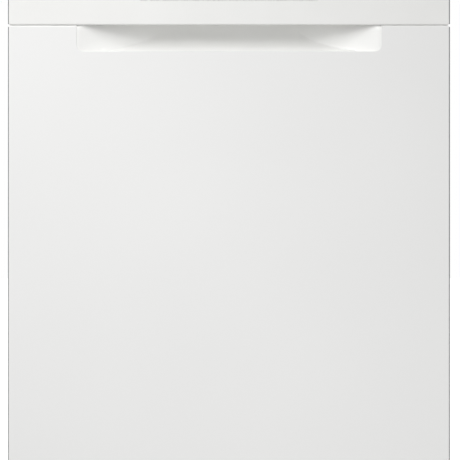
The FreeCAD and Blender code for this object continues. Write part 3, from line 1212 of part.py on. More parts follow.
def in_cells(whole, cells):
    """The solids that the boxes part a shape into. Together they have to fill it."""
    found = [solid for cell in cells for solid in whole.common(cell).Solids]
    if abs(sum(solid.Volume for solid in found) - whole.Volume) > 1e-4 * whole.Volume:
        raise ValueError("the boxes miss some of the shape")
    return found


def shaft_level(size):
    return size["cross"] + size["thin"] + number("shaft_wire / 2 + body_clearance")


def tines(size, y, base):
    height = number("tine_height")
    return [straight(number("tine_wire / 2"), (x, y, base), (x, y, base + height)) for x in tine_columns(size)]


def tine_columns(size):
    return spread(size["columns"][0] + 14, size["columns"][-1] - 14, size["pitch"])


def row_places():
    rear = number("row_rear")
    pitch = number("row_pitch")
    return rear - 2 * pitch, rear - pitch, rear


def lower_rack():
    """The lower basket: floor and sides of wire, axles, one fixed row of tines and clips for two rows."""
    size = rack_sizes(f"{AXLE_Z} + axle_radius + wire / 2 - 0.5", "lower_height")
    parts = basket(size, (size["top"] - size["thick"], size["level"] + size["height"] * 0.45))
    fixed, *folding = row_places()
    axle, reach = number("axle_radius"), number("wheel_out + wheel_width + body_clearance")
    for y in (number(WHEEL_FRONT), number(WHEEL_REAR)):
        parts.append(straight(axle, (-reach, y, number(AXLE_Z)), (reach, y, number(AXLE_Z))))
        for way in (-1, 1):
            parts.append(Part.makeCylinder(axle + 3, 1.5, vec(way * reach, y, number(AXLE_Z)), vec(way, 0, 0)))
    outer = size["columns"][-1]
    parts.append(straight(size["thin"], (-outer - 6, fixed, size["cross"]), (outer + 6, fixed, size["cross"])))
    parts += tines(size, fixed, size["cross"])
    for y in folding:
        for x in (-outer, outer):
            parts.append(lug(x, y, shaft_level(size), number("shaft_wire / 2"), 6, size["level"]))
    return shaped("lower_rack", in_cells(welded(parts), rack_cells(size, number("carrier"))))


def tine_row(label, y):
    """A shaft across the rack with a line of tines, which folds down towards the back."""
    size = rack_sizes(f"{AXLE_Z} + axle_radius + wire / 2 - 0.5", "lower_height")
    end = size["columns"][-1] + 8
    z = shaft_level(size)
    shaft = straight(number("shaft_wire / 2"), (-end, y, z), (end, y, z))
    return shaped(label, [welded([shaft] + tines(size, y, z))])


def cutlery_basket():
    """An open-topped basket with eight compartments, slotted walls and a carrying handle."""
    low = f"({AXLE_Z} + axle_radius + wire / 2 - 0.5 + 1.5 * wire - 1 + body_clearance)"
    x, y = ("40 - rack_half", "280 - rack_half"), ("rack_front + 12", "rack_front + 92")
    body = prism("basket_shell", "XY", rectangle(x, y), (low, f"{low} + 125"))
    soften(body, 8, lambda edge, at: along(edge, UP), "corners")
    tools = []
    for column in range(4):
        left = f"({x[0]} + 2.4 + {column} * 59.4)"
        for line in range(2):
            near_side = f"({y[0]} + 2.4 + {line} * 38.8)"
            tools.append(block(f"compartment_{column}_{line}", (left, f"{left} + 57"),
                               (near_side, f"{near_side} + 36.4"), (f"{low} + 3", f"{low} + 126")))
        for n in range(4):
            slot = f"({left} + 5 + {n} * 13)"
            tools.append(block(f"wall_slot_{column}_{n}", (slot, f"{slot} + 7"), (f"{y[0]} - 1", f"{y[1]} + 1"),
                               (f"{low} + 14", f"{low} + 100")))
            for line in range(2):
                hole = f"({y[0]} + 9 + {line} * 38.8)"
                tools.append(block(f"floor_slot_{column}_{n}_{line}", (slot, f"{slot} + 7"),
                                   (hole, f"{hole} + 24"), (f"{low} - 1", f"{low} + 4")))
    middle = f"({y[0]} + 40)"
    posts = [block(f"handle_post_{n}", (at, f"{at} + 8"), span(middle, 3), (f"{low} + 60", f"{low} + 190"))
             for n, at in enumerate(("95 - rack_half", "217 - rack_half"))]
    bar = block("handle_bar", ("95 - rack_half", "225 - rack_half"), span(middle, 5),
                (f"{low} + 182", f"{low} + 196"))
    return fuse("cutlery_basket", cut("basket_open", body, *tools), *posts, bar)


def upper_rack():
    """The upper basket with roller carriers at its sides and clips for the cup shelves."""
    size = rack_sizes("upper_level", "upper_height")
    parts = basket(size, (size["top"] - size["thick"], size["level"] + size["height"] * 0.42))
    inner = size["half"] + size["thick"] - 1
    carrier, axle = number("carrier"), number("axle_radius")
    low, front, rear = size["level"] + size["height"] * 0.42 - 6, number("roller_front"), number("roller_rear")
    for way in (-1, 1):
        plate = Part.makeBox(carrier, rear - front + 60, size["top"] - low,
                             vec(inner if way > 0 else -inner - carrier, front - 30, low))
        parts.append(plate)
        for y in (front, rear):
            start = way * (inner + 1)
            end = way * number(ROLLER_OUT)
            parts.append(straight(axle, (start, y, number(ROLLER_Z)), (end, y, number(ROLLER_Z))))
            collar_end = way * (number(ROLLER_OUT) - number("roller_width") - 0.8)
            parts.append(straight(axle + 3, (start, y, number(ROLLER_Z)), (collar_end, y, number(ROLLER_Z))))
        for y in shelf_clips(size):
            clip = Part.makeBox(12, 6, 13, vec(0, y - 3, -6.5))
            clip = clip.cut(Part.makeCylinder(number("shaft_wire / 2 + axle_fit"), 8, vec(4, y - 4, 0),
                                              vec(0, 1, 0)))
            clip.Placement = FreeCAD.Placement(vec(0, 0, 0), FreeCAD.Rotation())
            if way < 0:
                clip = clip.mirror(vec(0, 0, 0), vec(1, 0, 0))
            clip.translate(vec(way * (size["side"] - 11), 0, number(SHELF_Z)))
            parts.append(clip)
    return shaped("upper_rack", in_cells(welded(parts), rack_cells(size, carrier - 1)))


SHELF_Z = "(upper_level + shelf_rise)"


def shelf_clips(size):
    """The clips sit on the side wires nearest to the ends of a cup shelf."""
    half = number("shelf_length / 2")
    front = min(size["lines"], key=lambda y: abs(y + half - 4))
    rear = min(size["lines"], key=lambda y: abs(y - half - 4))
    return front, rear


def cup_shelf(label, way):
    """A slotted shelf on a shaft along the rack's side, which folds up."""
    size = rack_sizes("upper_level", "upper_height")
    front, rear = shelf_clips(size)
    axis = size["side"] - 7
    thick, wide = number("shelf_sheet"), number("shelf_width")
    z = number(SHELF_Z)
    shaft = straight(number("shaft_wire / 2"), (axis, front - 7, z), (axis, rear + 7, z))
    plate = Part.makeBox(wide, rear - front - 12, thick, vec(axis - wide, front + 6, z - thick / 2))
    for y in spread(front + 18, rear - 32, 26):
        plate = plate.cut(Part.makeBox(wide - 22, 13, thick + 2, vec(axis - wide + 8, y, z - thick / 2 - 1)))
    edge = straight(number("shaft_wire / 2"), (axis - wide, front + 6, z), (axis - wide, rear - 6, z))
    whole = shaft.multiFuse([plate, edge])
    return shaped(label, [whole if way > 0 else whole.mirror(vec(0, 0, 0), vec(1, 0, 0))])


# ================================================================ every node, the checks and the files
_, ROW_MIDDLE, ROW_REAR = row_places()
NODES = [
    base_tray(), tub(), side_panel("side_panel_left", -1), side_panel("side_panel_right", 1), top_frame(),
    insulation_blanket(), kick_plate(), sump(), circulation_pump(), pump_impeller(), drain_pump(), softener(),
    salt_cap(), inlet_valve(), mains_gland(), air_break(), feed_pipe(), filter_plate(), filter_cylinder(),
    spray_hub(), spray_arm("lower_spray_arm", ARM_LOW, "lower_arm_reach", -1), outer_rails(), door_gasket(),
    latch_strike(), hinge_brackets(),
    door_panel(), control_panel(), control_inset(), display_window(), grip_cup(), door_liner(),
    dispenser_housing(), dispenser_lid(), rinse_cap(), door_insulation(), control_board(), door_latch(),
    door_screws(), hinge_arms(),
    upper_rack(), inner_rails(), spray_feed_tube(),
    spray_arm("upper_spray_arm", UPPER_ARM_LOW, "upper_arm_reach", 1),
    pair_of_wheels("front_rollers", ROLLER_RADIUS, f"{ROLLER_OUT} - roller_width", ROLLER_OUT, "roller_front",
                   ROLLER_Z, False),
    pair_of_wheels("rear_rollers", ROLLER_RADIUS, f"{ROLLER_OUT} - roller_width", ROLLER_OUT, "roller_rear",
                   ROLLER_Z, False),
    cup_shelf("cup_shelf_left", -1), cup_shelf("cup_shelf_right", 1),
    lower_rack(), tine_row("tine_row_middle", ROW_MIDDLE), tine_row("tine_row_rear", ROW_REAR), cutlery_basket(),
    pair_of_wheels("front_wheels", "wheel_radius", "wheel_out", "wheel_out + wheel_width",
                   WHEEL_FRONT, AXLE_Z, True),
    pair_of_wheels("rear_wheels", "wheel_radius", "wheel_out", "wheel_out + wheel_width",
                   WHEEL_REAR, AXLE_Z, True),
]
NODES += [foot(label, x, y) for label, (x, y) in FEET.items()]
NODES += [button(label, x) for label, x in BUTTONS.items()]
doc.recompute()

for item in doc.Objects:
    if {"Invalid", "Error"} & set(item.State):
        raise RuntimeError(f"{item.Label} did not recompute: {item.State}")
for node in NODES:
    if node.Shape.isNull() or not node.Shape.isValid():
        raise RuntimeError(f"{node.Label} has no valid shape")
    if node.Label != node.Name and doc.getObjectsByLabel(node.Label) != [node]:
        raise RuntimeError(f"{node.Label} is used twice")

os.makedirs("parts", exist_ok=True)
for node in NODES:
    node.Shape.exportStep(f"parts/{node.Label}.step")
    box = node.Shape.BoundBox
    print(f"{node.Label:20s} {len(node.Shape.Solids):3d} {node.Shape.Volume / 1000:9.1f} cm3"
          f"  x {box.XMin:7.1f} {box.XMax:7.1f}  y {box.YMin:7.1f} {box.YMax:7.1f}"
          f"  z {box.ZMin:6.1f} {box.ZMax:6.1f}")
print(len(NODES), "nodes")
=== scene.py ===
import json
import math
import bpy, bmesh
import numpy as np
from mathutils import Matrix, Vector
from mathutils.geometry import tessellate_polygon


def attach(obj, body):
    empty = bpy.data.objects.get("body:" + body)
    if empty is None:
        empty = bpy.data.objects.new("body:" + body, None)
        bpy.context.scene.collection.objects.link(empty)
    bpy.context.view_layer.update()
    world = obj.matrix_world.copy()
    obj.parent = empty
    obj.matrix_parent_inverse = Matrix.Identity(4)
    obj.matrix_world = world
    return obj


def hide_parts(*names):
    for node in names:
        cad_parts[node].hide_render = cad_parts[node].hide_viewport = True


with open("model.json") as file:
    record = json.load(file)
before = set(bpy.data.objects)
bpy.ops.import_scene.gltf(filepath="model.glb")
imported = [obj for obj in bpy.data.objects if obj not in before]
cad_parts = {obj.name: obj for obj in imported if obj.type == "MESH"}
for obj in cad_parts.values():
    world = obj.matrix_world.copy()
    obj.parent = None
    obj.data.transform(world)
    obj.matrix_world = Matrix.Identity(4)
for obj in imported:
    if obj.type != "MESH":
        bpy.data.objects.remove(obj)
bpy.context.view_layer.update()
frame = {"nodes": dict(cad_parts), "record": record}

mm = 0.001
scene = bpy.context.scene
scene.view_settings.view_transform = "Standard"
bodyOf = {node: body for body, nodes in frame["record"]["behaviour"]["bodies"].items() for node in nodes}


def linear(hexText):
    # sRGB hex to the linear values that Blender mixes
    value = np.array([int(hexText[i:i + 2], 16) for i in (1, 3, 5)]) / 255
    curved = np.where(value <= 0.04045, value / 12.92, ((value + 0.055) / 1.055) ** 2.4)
    return (*curved.tolist(), 1)


def addNode(material, kind, settings=None, links=None):
    # one node with its properties, socket values or colour stops, and links given as {socket: (node, output)}
    node = material.node_tree.nodes.new(kind)
    for name, value in (settings or {}).items():
        if name == "stops":
            for stop, (place, colour) in zip(node.color_ramp.elements, value):
                stop.position, stop.color = place, linear(colour)
        elif isinstance(name, int) or name in node.inputs:
            node.inputs[name].default_value = value
        else:
            setattr(node, name, value)
    for name, (source, output) in (links or {}).items():
        material.node_tree.links.new(source.outputs[output], node.inputs[name])
    return node


def startMaterial(name):
    # an empty node material and the object's own coordinates in metres
    material = bpy.data.materials.new(name)
    material.use_nodes = True
    material.node_tree.nodes.clear()
    return material, (addNode(material, "ShaderNodeTexCoord"), "Object")


def endMaterial(material, settings, links=None):
    shader = addNode(material, "ShaderNodeBsdfPrincipled", settings, links)
    addNode(material, "ShaderNodeOutputMaterial", links={"Surface": (shader, "BSDF")})
    return material


def enamelMaterial(name, dark, light, roughness, orangePeel, peelDepth, glossSpread=0.03):
    # powder enamel baked on sheet steel: a satin coat with a faint orange-peel ripple
    material, place = startMaterial(name)
    broad = addNode(material, "ShaderNodeTexNoise", {"Scale": 2.2, "Detail": 2.0}, {"Vector": place})
    tone = addNode(material, "ShaderNodeValToRGB", {"stops": ((0.35, dark), (0.65, light))}, {"Fac": (broad, "Fac")})
    peel = addNode(material, "ShaderNodeTexNoise", {"Scale": 1 / (orangePeel * mm), "Detail": 3.0, "Roughness": 0.45},
                   {"Vector": place})
    gloss = addNode(material, "ShaderNodeMapRange", {"To Min": roughness - glossSpread, "To Max": roughness + glossSpread},
                    {"Value": (peel, "Fac")})
    bump = addNode(material, "ShaderNodeBump", {"Strength": 0.5, "Distance": peelDepth * mm}, {"Height": (peel, "Fac")})
    return endMaterial(material, {"IOR": 1.5, "Coat Weight": 0.15, "Coat Roughness": 0.2, "Specular IOR Level": 0.45},
                       {"Base Color": (tone, "Color"), "Roughness": (gloss, "Result"), "Normal": (bump, "Normal")})


def mouldedMaterial(name, dark, light, roughness, grain, grainDepth):
    # injection-moulded plastic: an even colour, a fine spark-eroded grain and slightly blotchy gloss
    material, place = startMaterial(name)
    cloud = addNode(material, "ShaderNodeTexNoise", {"Scale": 14.0, "Detail": 4.0}, {"Vector": place})
    tone = addNode(material, "ShaderNodeValToRGB", {"stops": ((0.3, dark), (0.7, light))}, {"Fac": (cloud, "Fac")})
    grains = addNode(material, "ShaderNodeTexNoise", {"Scale": 1 / (grain * mm), "Detail": 2.0, "Roughness": 0.6},
                     {"Vector": place})
    gloss = addNode(material, "ShaderNodeMapRange", {"To Min": roughness - 0.05, "To Max": roughness + 0.06},
                    {"Value": (cloud, "Fac")})
    bump = addNode(material, "ShaderNodeBump", {"Strength": 0.6, "Distance": grainDepth * mm}, {"Height": (grains, "Fac")})
    return endMaterial(material, {"IOR": 1.49, "Specular IOR Level": 0.45},
                       {"Base Color": (tone, "Color"), "Roughness": (gloss, "Result"), "Normal": (bump, "Normal")})


def brushedMaterial(name, dark, light, roughness, along, lineWidth):
    # stainless sheet with a brushed grain: fine parallel lines that stretch the reflections across them
    material, place = startMaterial(name)
    stretch = [1 / (lineWidth * mm)] * 3
    stretch["XYZ".index(along)] = 1 / (90 * mm)
    lay = addNode(material, "ShaderNodeMapping", {"Scale": stretch}, {"Vector": place})
    lines = addNode(material, "ShaderNodeTexNoise", {"Scale": 1.0, "Detail": 4.0, "Roughness": 0.65},
                    {"Vector": (lay, "Vector")})
    cloud = addNode(material, "ShaderNodeTexNoise", {"Scale": 6.0, "Detail": 3.0}, {"Vector": place})
    weak = addNode(material, "ShaderNodeMath", {"operation": "MULTIPLY", 1: 0.6}, {0: (lines, "Fac")})
    both = addNode(material, "ShaderNodeMath", {"operation": "MULTIPLY_ADD", 1: 0.4},
                   {0: (cloud, "Fac"), 2: (weak, "Value")})
    tone = addNode(material, "ShaderNodeValToRGB", {"stops": ((0.3, dark), (0.7, light))}, {"Fac": (both, "Value")})
    gloss = addNode(material, "ShaderNodeMapRange", {"To Min": roughness - 0.07, "To Max": roughness + 0.09},
                    {"Value": (both, "Value")})
    bump = addNode(material, "ShaderNodeBump", {"Strength": 0.35, "Distance": 0.02 * mm}, {"Height": (lines, "Fac")})
    return endMaterial(material, {"Metallic": 1.0, "Anisotropic": 0.4},
                       {"Base Color": (tone, "Color"), "Roughness": (gloss, "Result"), "Normal": (bump, "Normal")})


def zincMaterial(name, dark, light, spangle):
    # hot-dip galvanised sheet: zinc crystals a few millimetres across, each a slightly different grey and gloss
    material, place = startMaterial(name)
    crystals = addNode(material, "ShaderNodeTexVoronoi", {"Scale": 1 / (spangle * mm), "Randomness": 1.0},
                       {"Vector": place})
    cloud = addNode(material, "ShaderNodeTexNoise", {"Scale": 9.0, "Detail": 5.0}, {"Vector": place})
    grey = addNode(material, "ShaderNodeSeparateColor", links={"Color": (crystals, "Color")})
    mixed = addNode(material, "ShaderNodeMath", {"operation": "MULTIPLY_ADD", 1: 0.45},
                    {0: (grey, "Red"), 2: (cloud, "Fac")})
    tone = addNode(material, "ShaderNodeValToRGB", {"stops": ((0.35, dark), (1.0, light))}, {"Fac": (mixed, "Value")})
    gloss = addNode(material, "ShaderNodeMapRange", {"To Min": 0.38, "To Max": 0.58}, {"Value": (mixed, "Value")})
    bump = addNode(material, "ShaderNodeBump", {"Strength": 0.3, "Distance": 0.03 * mm}, {"Height": (crystals, "Distance")})
    return endMaterial(material, {"Metallic": 0.85},
                       {"Base Color": (tone, "Color"), "Roughness": (gloss, "Result"), "Normal": (bump, "Normal")})


def feltMaterial(name, dark, light, fibre):
    # recycled-fibre felt with a bitumen binder: dark, matt, with pale fibres and flecks
    material, place = startMaterial(name)
    warp = addNode(material, "ShaderNodeTexNoise", {"Scale": 60.0, "Detail": 3.0}, {"Vector": place})
    fibres = addNode(material, "ShaderNodeTexVoronoi", {"Scale": 1 / (fibre * mm), "feature": "DISTANCE_TO_EDGE"},
                     {"Vector": place})
    height = addNode(material, "ShaderNodeMath", {"operation": "MULTIPLY_ADD", 1: 0.5},
                     {0: (fibres, "Distance"), 2: (warp, "Fac")})
    tone = addNode(material, "ShaderNodeValToRGB", {"stops": ((0.35, light), (0.75, dark))}, {"Fac": (height, "Value")})
    bump = addNode(material, "ShaderNodeBump", {"Strength": 0.8, "Distance": 0.8 * mm}, {"Height": (height, "Value")})
    return endMaterial(material, {"Roughness": 0.95, "Sheen Weight": 0.25, "Sheen Roughness": 0.6,
                                  "Specular IOR Level": 0.2}, {"Base Color": (tone, "Color"), "Normal": (bump, "Normal")})


def rubberMaterial(name, dark, light):
    # extruded EPDM: near black, matt, with a dusty bloom
    material, place = startMaterial(name)
    bloom = addNode(material, "ShaderNodeTexNoise", {"Scale": 40.0, "Detail": 5.0}, {"Vector": place})
    tone = addNode(material, "ShaderNodeValToRGB", {"stops": ((0.35, dark), (0.65, light))}, {"Fac": (bloom, "Fac")})
    gloss = addNode(material, "ShaderNodeMapRange", {"To Min": 0.5, "To Max": 0.72}, {"Value": (bloom, "Fac")})
    bump = addNode(material, "ShaderNodeBump", {"Strength": 0.4, "Distance": 0.05 * mm}, {"Height": (bloom, "Fac")})
    return endMaterial(material, {"Specular IOR Level": 0.35},
                       {"Base Color": (tone, "Color"), "Roughness": (gloss, "Result"), "Normal": (bump, "Normal")})


def smokedMaterial(name, dark, light):
    # smoked acrylic over a dark display: almost black, polished, with very faint waviness
    material, place = startMaterial(name)
    wave = addNode(material, "ShaderNodeTexNoise", {"Scale": 25.0, "Detail": 2.0}, {"Vector": place})
    tone = addNode(material, "ShaderNodeValToRGB", {"stops": ((0.35, dark), (0.65, light))}, {"Fac": (wave, "Fac")})
    gloss = addNode(material, "ShaderNodeMapRange", {"To Min": 0.05, "To Max": 0.12}, {"Value": (wave, "Fac")})
    return endMaterial(material, {"IOR": 1.49, "Coat Weight": 0.4, "Coat Roughness": 0.03},
                       {"Base Color": (tone, "Color"), "Roughness": (gloss, "Result")})


def circuitMaterial(name, dark, light):
    # glass-fibre circuit board under solder mask: green, semi-gloss, with the tracks as a faint relief
    material, place = startMaterial(name)
    tracks = addNode(material, "ShaderNodeTexBrick", {"Scale": 90.0, "Mortar Size": 0.03}, {"Vector": place})
    tone = addNode(material, "ShaderNodeValToRGB", {"stops": ((0.2, dark), (0.8, light))}, {"Fac": (tracks, "Fac")})
    bump = addNode(material, "ShaderNodeBump", {"Strength": 0.4, "Distance": 0.05 * mm}, {"Height": (tracks, "Fac")})
    return endMaterial(material, {"Roughness": 0.35}, {"Base Color": (tone, "Color"), "Normal": (bump, "Normal")})


# the door's satin white, with a soft broad highlight
whiteEnamel = enamelMaterial("whitePowderEnamel", "#EEEEED", "#F1F1F0", 0.36, 2.4, 0.012)
# the kick plate's plainer, flatter white
plinthEnamel = enamelMaterial("whitePlinthEnamel", "#EAEAE8", "#EFEFED", 0.42, 2.0, 0.02)
# control panel, its inset strip, tongue and closers, a shade warmer than the door
whiteAbs = mouldedMaterial("whiteMouldedAbs", "#EDEDEB", "#F0F0EE", 0.36, 0.9, 0.008)
# the grip's finger recess, the lightest piece: the panel's white plastic painted lighter to lift the shade in the
# recess, so that it also bounces more light about in it
gripAbs = mouldedMaterial("brightWhiteGripAbs", "#F6F6F4", "#F8F8F6", 0.34, 0.9, 0.008)
# keys, which stand out a little from the strip
buttonAbs = mouldedMaterial("lightGreyButtonAbs", "#D9D9D7", "#DEDEDC", 0.3, 0.8, 0.006)
# mid grey of the dispenser, spray arms and cutlery basket
greyPlastic = mouldedMaterial("greyMouldedPolypropylene", "#8A8D92", "#94979B", 0.42, 0.9, 0.02)
# strips down the door's sides, a darker grey painted in as the shade on the door's rounded side edges, drawing a thin
# dark line there
edgeShadeGrey = mouldedMaterial("paintedEdgeShadeGrey", "#6E7073", "#76787B", 0.45, 0.9, 0.01)
# natural, slightly translucent looking plastic of lids, wheels and hidden mouldings
palePlastic = mouldedMaterial("paleMouldedPolypropylene", "#C3C6C8", "#CDCFD1", 0.4, 0.9, 0.015)
# the base and feet, dark with a coarse grain
darkPlastic = mouldedMaterial("darkTexturedPolypropylene", "#2A2B2D", "#333437", 0.55, 1.3, 0.06)
# pumps and sump, dark grey and dull from glass fibre
pumpPlastic = mouldedMaterial("pumpGlassFilledPlastic", "#45484C", "#505358", 0.5, 1.1, 0.05)
# the racks' thick, smooth blue-grey dip coat
nylonCoat = mouldedMaterial("greyNylonCoating", "#9EA4AB", "#A9AEB4", 0.32, 1.6, 0.03)
# tub walls, bright with stretched reflections
tubSteel = brushedMaterial("brushedTubSteel", "#C3C5C7", "#D9DADB", 0.3, "X", 0.6)
# inner door and filter plate, a little brighter than the tub
linerSteel = brushedMaterial("brushedLinerSteel", "#C6C8CA", "#DBDCDD", 0.28, "X", 0.6)
# rails, hinges and screws, darker plain steel
bareSteel = brushedMaterial("rolledSteel", "#8E9194", "#B3B5B7", 0.34, "Z", 0.8)
# side sheets and braces, cool grey with crystals
zincSheet = zincMaterial("galvanisedSheet", "#A6ABAF", "#C3C7CA", 7.0)
# sound-deadening felt, almost black
bitumenFelt = feltMaterial("bitumenFelt", "#1B1A19", "#4A4743", 1.6)
# the door seal, black
epdmRubber = rubberMaterial("epdmRubber", "#0F0F10", "#1A1A1B")
# display window, glossy black
smokedAcrylic = smokedMaterial("smokedAcrylic", "#08090B", "#0D0F12")
# the board behind the control panel, green
circuitBoard = circuitMaterial("solderMask", "#0F3A20", "#1E6A38")
print("materials made:", len(bpy.data.materials))


def gridFaces(rows, columns, closedRows=False, closedColumns=False, start=0):
    # the quads between neighbouring points of a rows x columns grid
    i = np.arange(rows if closedRows else rows - 1)[:, None]
    j = np.arange(columns if closedColumns else columns - 1)[None, :]
    nextI, nextJ = (i + 1) % rows, (j + 1) % columns
    quads = np.stack([i * columns + j, nextI * columns + j, nextI * columns + nextJ, i * columns + nextJ], -1)
    return (quads.reshape(-1, 4) + start).tolist()


def unit(rows):
    return rows / np.linalg.norm(rows, axis=-1, keepdims=True)


def finishPiece(piece, node, replaces=None):
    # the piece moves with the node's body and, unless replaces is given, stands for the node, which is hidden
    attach(piece, bodyOf[node])
    if replaces is None:
        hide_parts(node)
    return piece


def newPiece(name, points, faces, material, node, sharp=35, closed=True, replaces=None):
    # a mesh from points in millimetres, with its doubles merged, its faces turned outwards and sharp folds kept
    mesh = bpy.data.meshes.new(name)
    mesh.from_pydata((np.asarray(points, float).reshape(-1, 3) * mm).tolist(), [], faces)
    work = bmesh.new()
    work.from_mesh(mesh)
    bmesh.ops.remove_doubles(work, verts=work.verts, dist=0.004 * mm)
    bmesh.ops.dissolve_degenerate(work, edges=work.edges, dist=0.002 * mm)
    if closed:
        bmesh.ops.recalc_face_normals(work, faces=work.faces)
    work.to_mesh(mesh)
    work.free()
    mesh.shade_smooth()
    mesh.set_sharp_from_angle(angle=math.radians(sharp))
    mesh.materials.append(material)
    piece = bpy.data.objects.new(name, mesh)
    scene.collection.objects.link(piece)
    return finishPiece(piece, node, replaces=replaces)


def roundedLoop(corners, sides, steps=6):
    # an outline through corners (x, z, radius), each turned by an arc; every point also gets its outward normal
    # and the values of its side, which change evenly round the arc: centre + radius * (sin heading, -cos heading)
    corners, sides = np.array(corners, float), np.array(sides, float)
    places, normals, values = [], [], []
    for k, (x, z, radius) in enumerate(corners):
        here = np.array([x, z])
        arrive, leave = unit(here - corners[k - 1, :2]), unit(corners[(k + 1) % len(corners), :2] - here)
        turn = math.atan2(arrive[0] * leave[1] - arrive[1] * leave[0], arrive @ leave)
        share = np.linspace(0, 1, steps + 1)[:, None] if radius > 0 else np.array([[0.0], [1.0]])
        heading = math.atan2(arrive[1], arrive[0]) + share * turn
        outward = np.hstack([np.sin(heading), -np.cos(heading)])
        if radius > 0:
            back = radius * math.tan(abs(turn) / 2)
            bent = math.copysign(radius, turn)
            centre = here - arrive * back + bent * np.array([-arrive[1], arrive[0]])
            places.append(centre + bent * outward)
        else:
            places.append(here + (share - 0.5) * 0.02 * arrive)
        normals.append(outward)
        values.append(sides[k - 1] + share * (sides[k] - sides[k - 1]))
    return np.vstack(places), np.vstack(normals), np.vstack(values)


def ringsAt(loop, normals, insets, depths):
    # the outline repeated at each inset from its edge and each depth behind the front
    plan = loop[None] - normals[None] * insets[..., None]
    return np.stack([plan[..., 0], depths, plan[..., 1]], -1)


def capFaces(loops, starts, flip=False):
    # triangles that fill the area inside the first loop and outside the others
    rows = [[Vector(p) for p in loop] for loop in loops]
    index = np.concatenate([np.arange(len(loop)) + start for loop, start in zip(loops, starts)])
    return [[int(index[i]) for i in (face[::-1] if flip else face)] for face in tessellate_polygon(rows)]


def foldedEdge(values, front, sheet, support):
    # the section of a folded sheet along its edge: flat, rolled corner, wall, inward lip, and back inside the wall.
    # inset = e(1 - sin a), depth = e(1 - cos a) over the roll
    depth, roll, lip = values[:, 0], values[:, 1], np.maximum(values[:, 2], sheet)
    a = np.radians(np.linspace(0, 90, 7))[:, None]
    insets = np.vstack([roll + support, roll * (1 - np.sin(a)), 0 * depth, lip, lip, 0 * depth + sheet,
                        0 * depth + sheet, 0 * depth + sheet + support])
    back = np.where(values[:, 2] > sheet, depth - sheet, depth)
    depths = np.vstack([0 * depth, roll * (1 - np.cos(a)), depth, depth, back, back, 0 * depth + sheet,
                        0 * depth + sheet])
    return insets, front + depths


doorSheet = dict(front=-285, half=298, low=104, seam=696.4, notch=152, sheet=0.8, corner=2.6, roll=1.6, support=0.8,
                 sideDepth=54, lip=19, bottomDepth=15, seamDepth=10, gripHalf=206, gripLow=661.6, gripCorner=9,
                 cutRoll=0.45, cutCorner=1.6)


def makeDoorSheet(d):
    # folded door sheet: the foldedEdge section carried along the outline with its grip cut-out, and two flat fills
    h, g, c = d["half"], d["gripHalf"], d["corner"]
    side, tall = (d["sideDepth"], d["roll"], 0), (d["sideDepth"], d["roll"], d["lip"])
    seam, cut = (d["seamDepth"], d["roll"], 0), (d["sheet"], d["cutRoll"], 0)
    corners = [(-h, d["low"], c), (h, d["low"], c), (h, d["notch"], 0), (h, d["seam"], c), (g, d["seam"], d["cutCorner"]),
               (g, d["gripLow"], d["gripCorner"]), (-g, d["gripLow"], d["gripCorner"]), (-g, d["seam"], d["cutCorner"]),
               (-h, d["seam"], c), (-h, d["notch"], 0)]
    sides = [(d["bottomDepth"], d["roll"], 0), side, tall, seam, cut, cut, cut, seam, tall, side]
    loop, normals, values = roundedLoop(corners, sides)
    values[:, 1] = np.minimum(values[:, 1], d["roll"])
    insets, depths = foldedEdge(values, d["front"], d["sheet"], d["support"])
    rings = ringsAt(loop, normals, insets, depths)
    count = len(loop)
    faces = gridFaces(len(rings), count, closedColumns=True)
    faces += capFaces([rings[0][:, [0, 2]]], [0]) + capFaces([rings[-1][:, [0, 2]]], [count * (len(rings) - 1)], True)
    return newPiece("doorSkin", rings, faces, whiteEnamel, "door_panel")


doorSkin = makeDoorSheet(doorSheet)

controlShell = dict(front=-285, half=298, low=697.6, high=814, wall=2.5, corner=2.6, roll=1.6, support=0.8, depth=54,
                    clearHalf=208.5, stripHalf=121.5, stripLow=730.6, stripHigh=786.6, stripCorner=1.5, stripRoll=0.6)


def makeControlShell(d):
    # moulded control panel: the same kind of section round the outside, a second one round the strip's opening
    h, c = d["half"], d["corner"]
    deep, thin = (d["depth"], d["roll"], 0), (d["wall"], d["roll"], 0)
    corners = [(-h, d["low"], c), (-d["clearHalf"], d["low"], 0), (d["clearHalf"], d["low"], 0), (h, d["low"], c),
               (h, d["high"], c), (-h, d["high"], c)]
    loop, normals, values = roundedLoop(corners, [deep, thin, deep, deep, deep, deep])
    outer = ringsAt(loop, normals, *foldedEdge(values, d["front"], d["wall"], d["support"]))
    s = d["stripHalf"]
    corners = [(-s, d["stripLow"], d["stripCorner"]), (-s, d["stripHigh"], d["stripCorner"]),
               (s, d["stripHigh"], d["stripCorner"]), (s, d["stripLow"], d["stripCorner"])]
    hole, holeNormals, holeValues = roundedLoop(corners, [(d["wall"], d["stripRoll"], 0)] * 4)
    a = np.radians(np.linspace(0, 90, 6))[:, None]
    flat = 0 * holeValues[:, 0]
    insets = np.vstack([flat + d["stripRoll"] + 0.6, flat + d["stripRoll"] * (1 - np.sin(a)), flat, flat + 0.8])
    depths = np.vstack([flat, flat + d["stripRoll"] * (1 - np.cos(a)), flat + d["wall"], flat + d["wall"]])
    inner = ringsAt(hole, holeNormals, insets, d["front"] + depths)
    first = outer.shape[0] * len(loop)
    faces = gridFaces(len(outer), len(loop), closedColumns=True)
    faces += gridFaces(len(inner), len(hole), closedColumns=True, start=first)
    faces += capFaces([outer[0][:, [0, 2]], inner[0][:, [0, 2]]], [0, first])
    faces += capFaces([outer[-1][:, [0, 2]], inner[-1][:, [0, 2]]],
                      [(len(outer) - 1) * len(loop), first + (len(inner) - 1) * len(hole)], True)
    points = np.vstack([outer.reshape(-1, 3), inner.reshape(-1, 3)])
    return newPiece("controlPanelShell", points, faces, whiteAbs, "control_panel")


controlPanelShell = makeControlShell(controlShell)

gripScoop = dict(front=-285, axisZ=697.6, radius=36, half=206, ramp=112, top=709.6, lip=2.9, behind=0.85, flange=8,
                 wall=2.3, roofCorner=3.5)


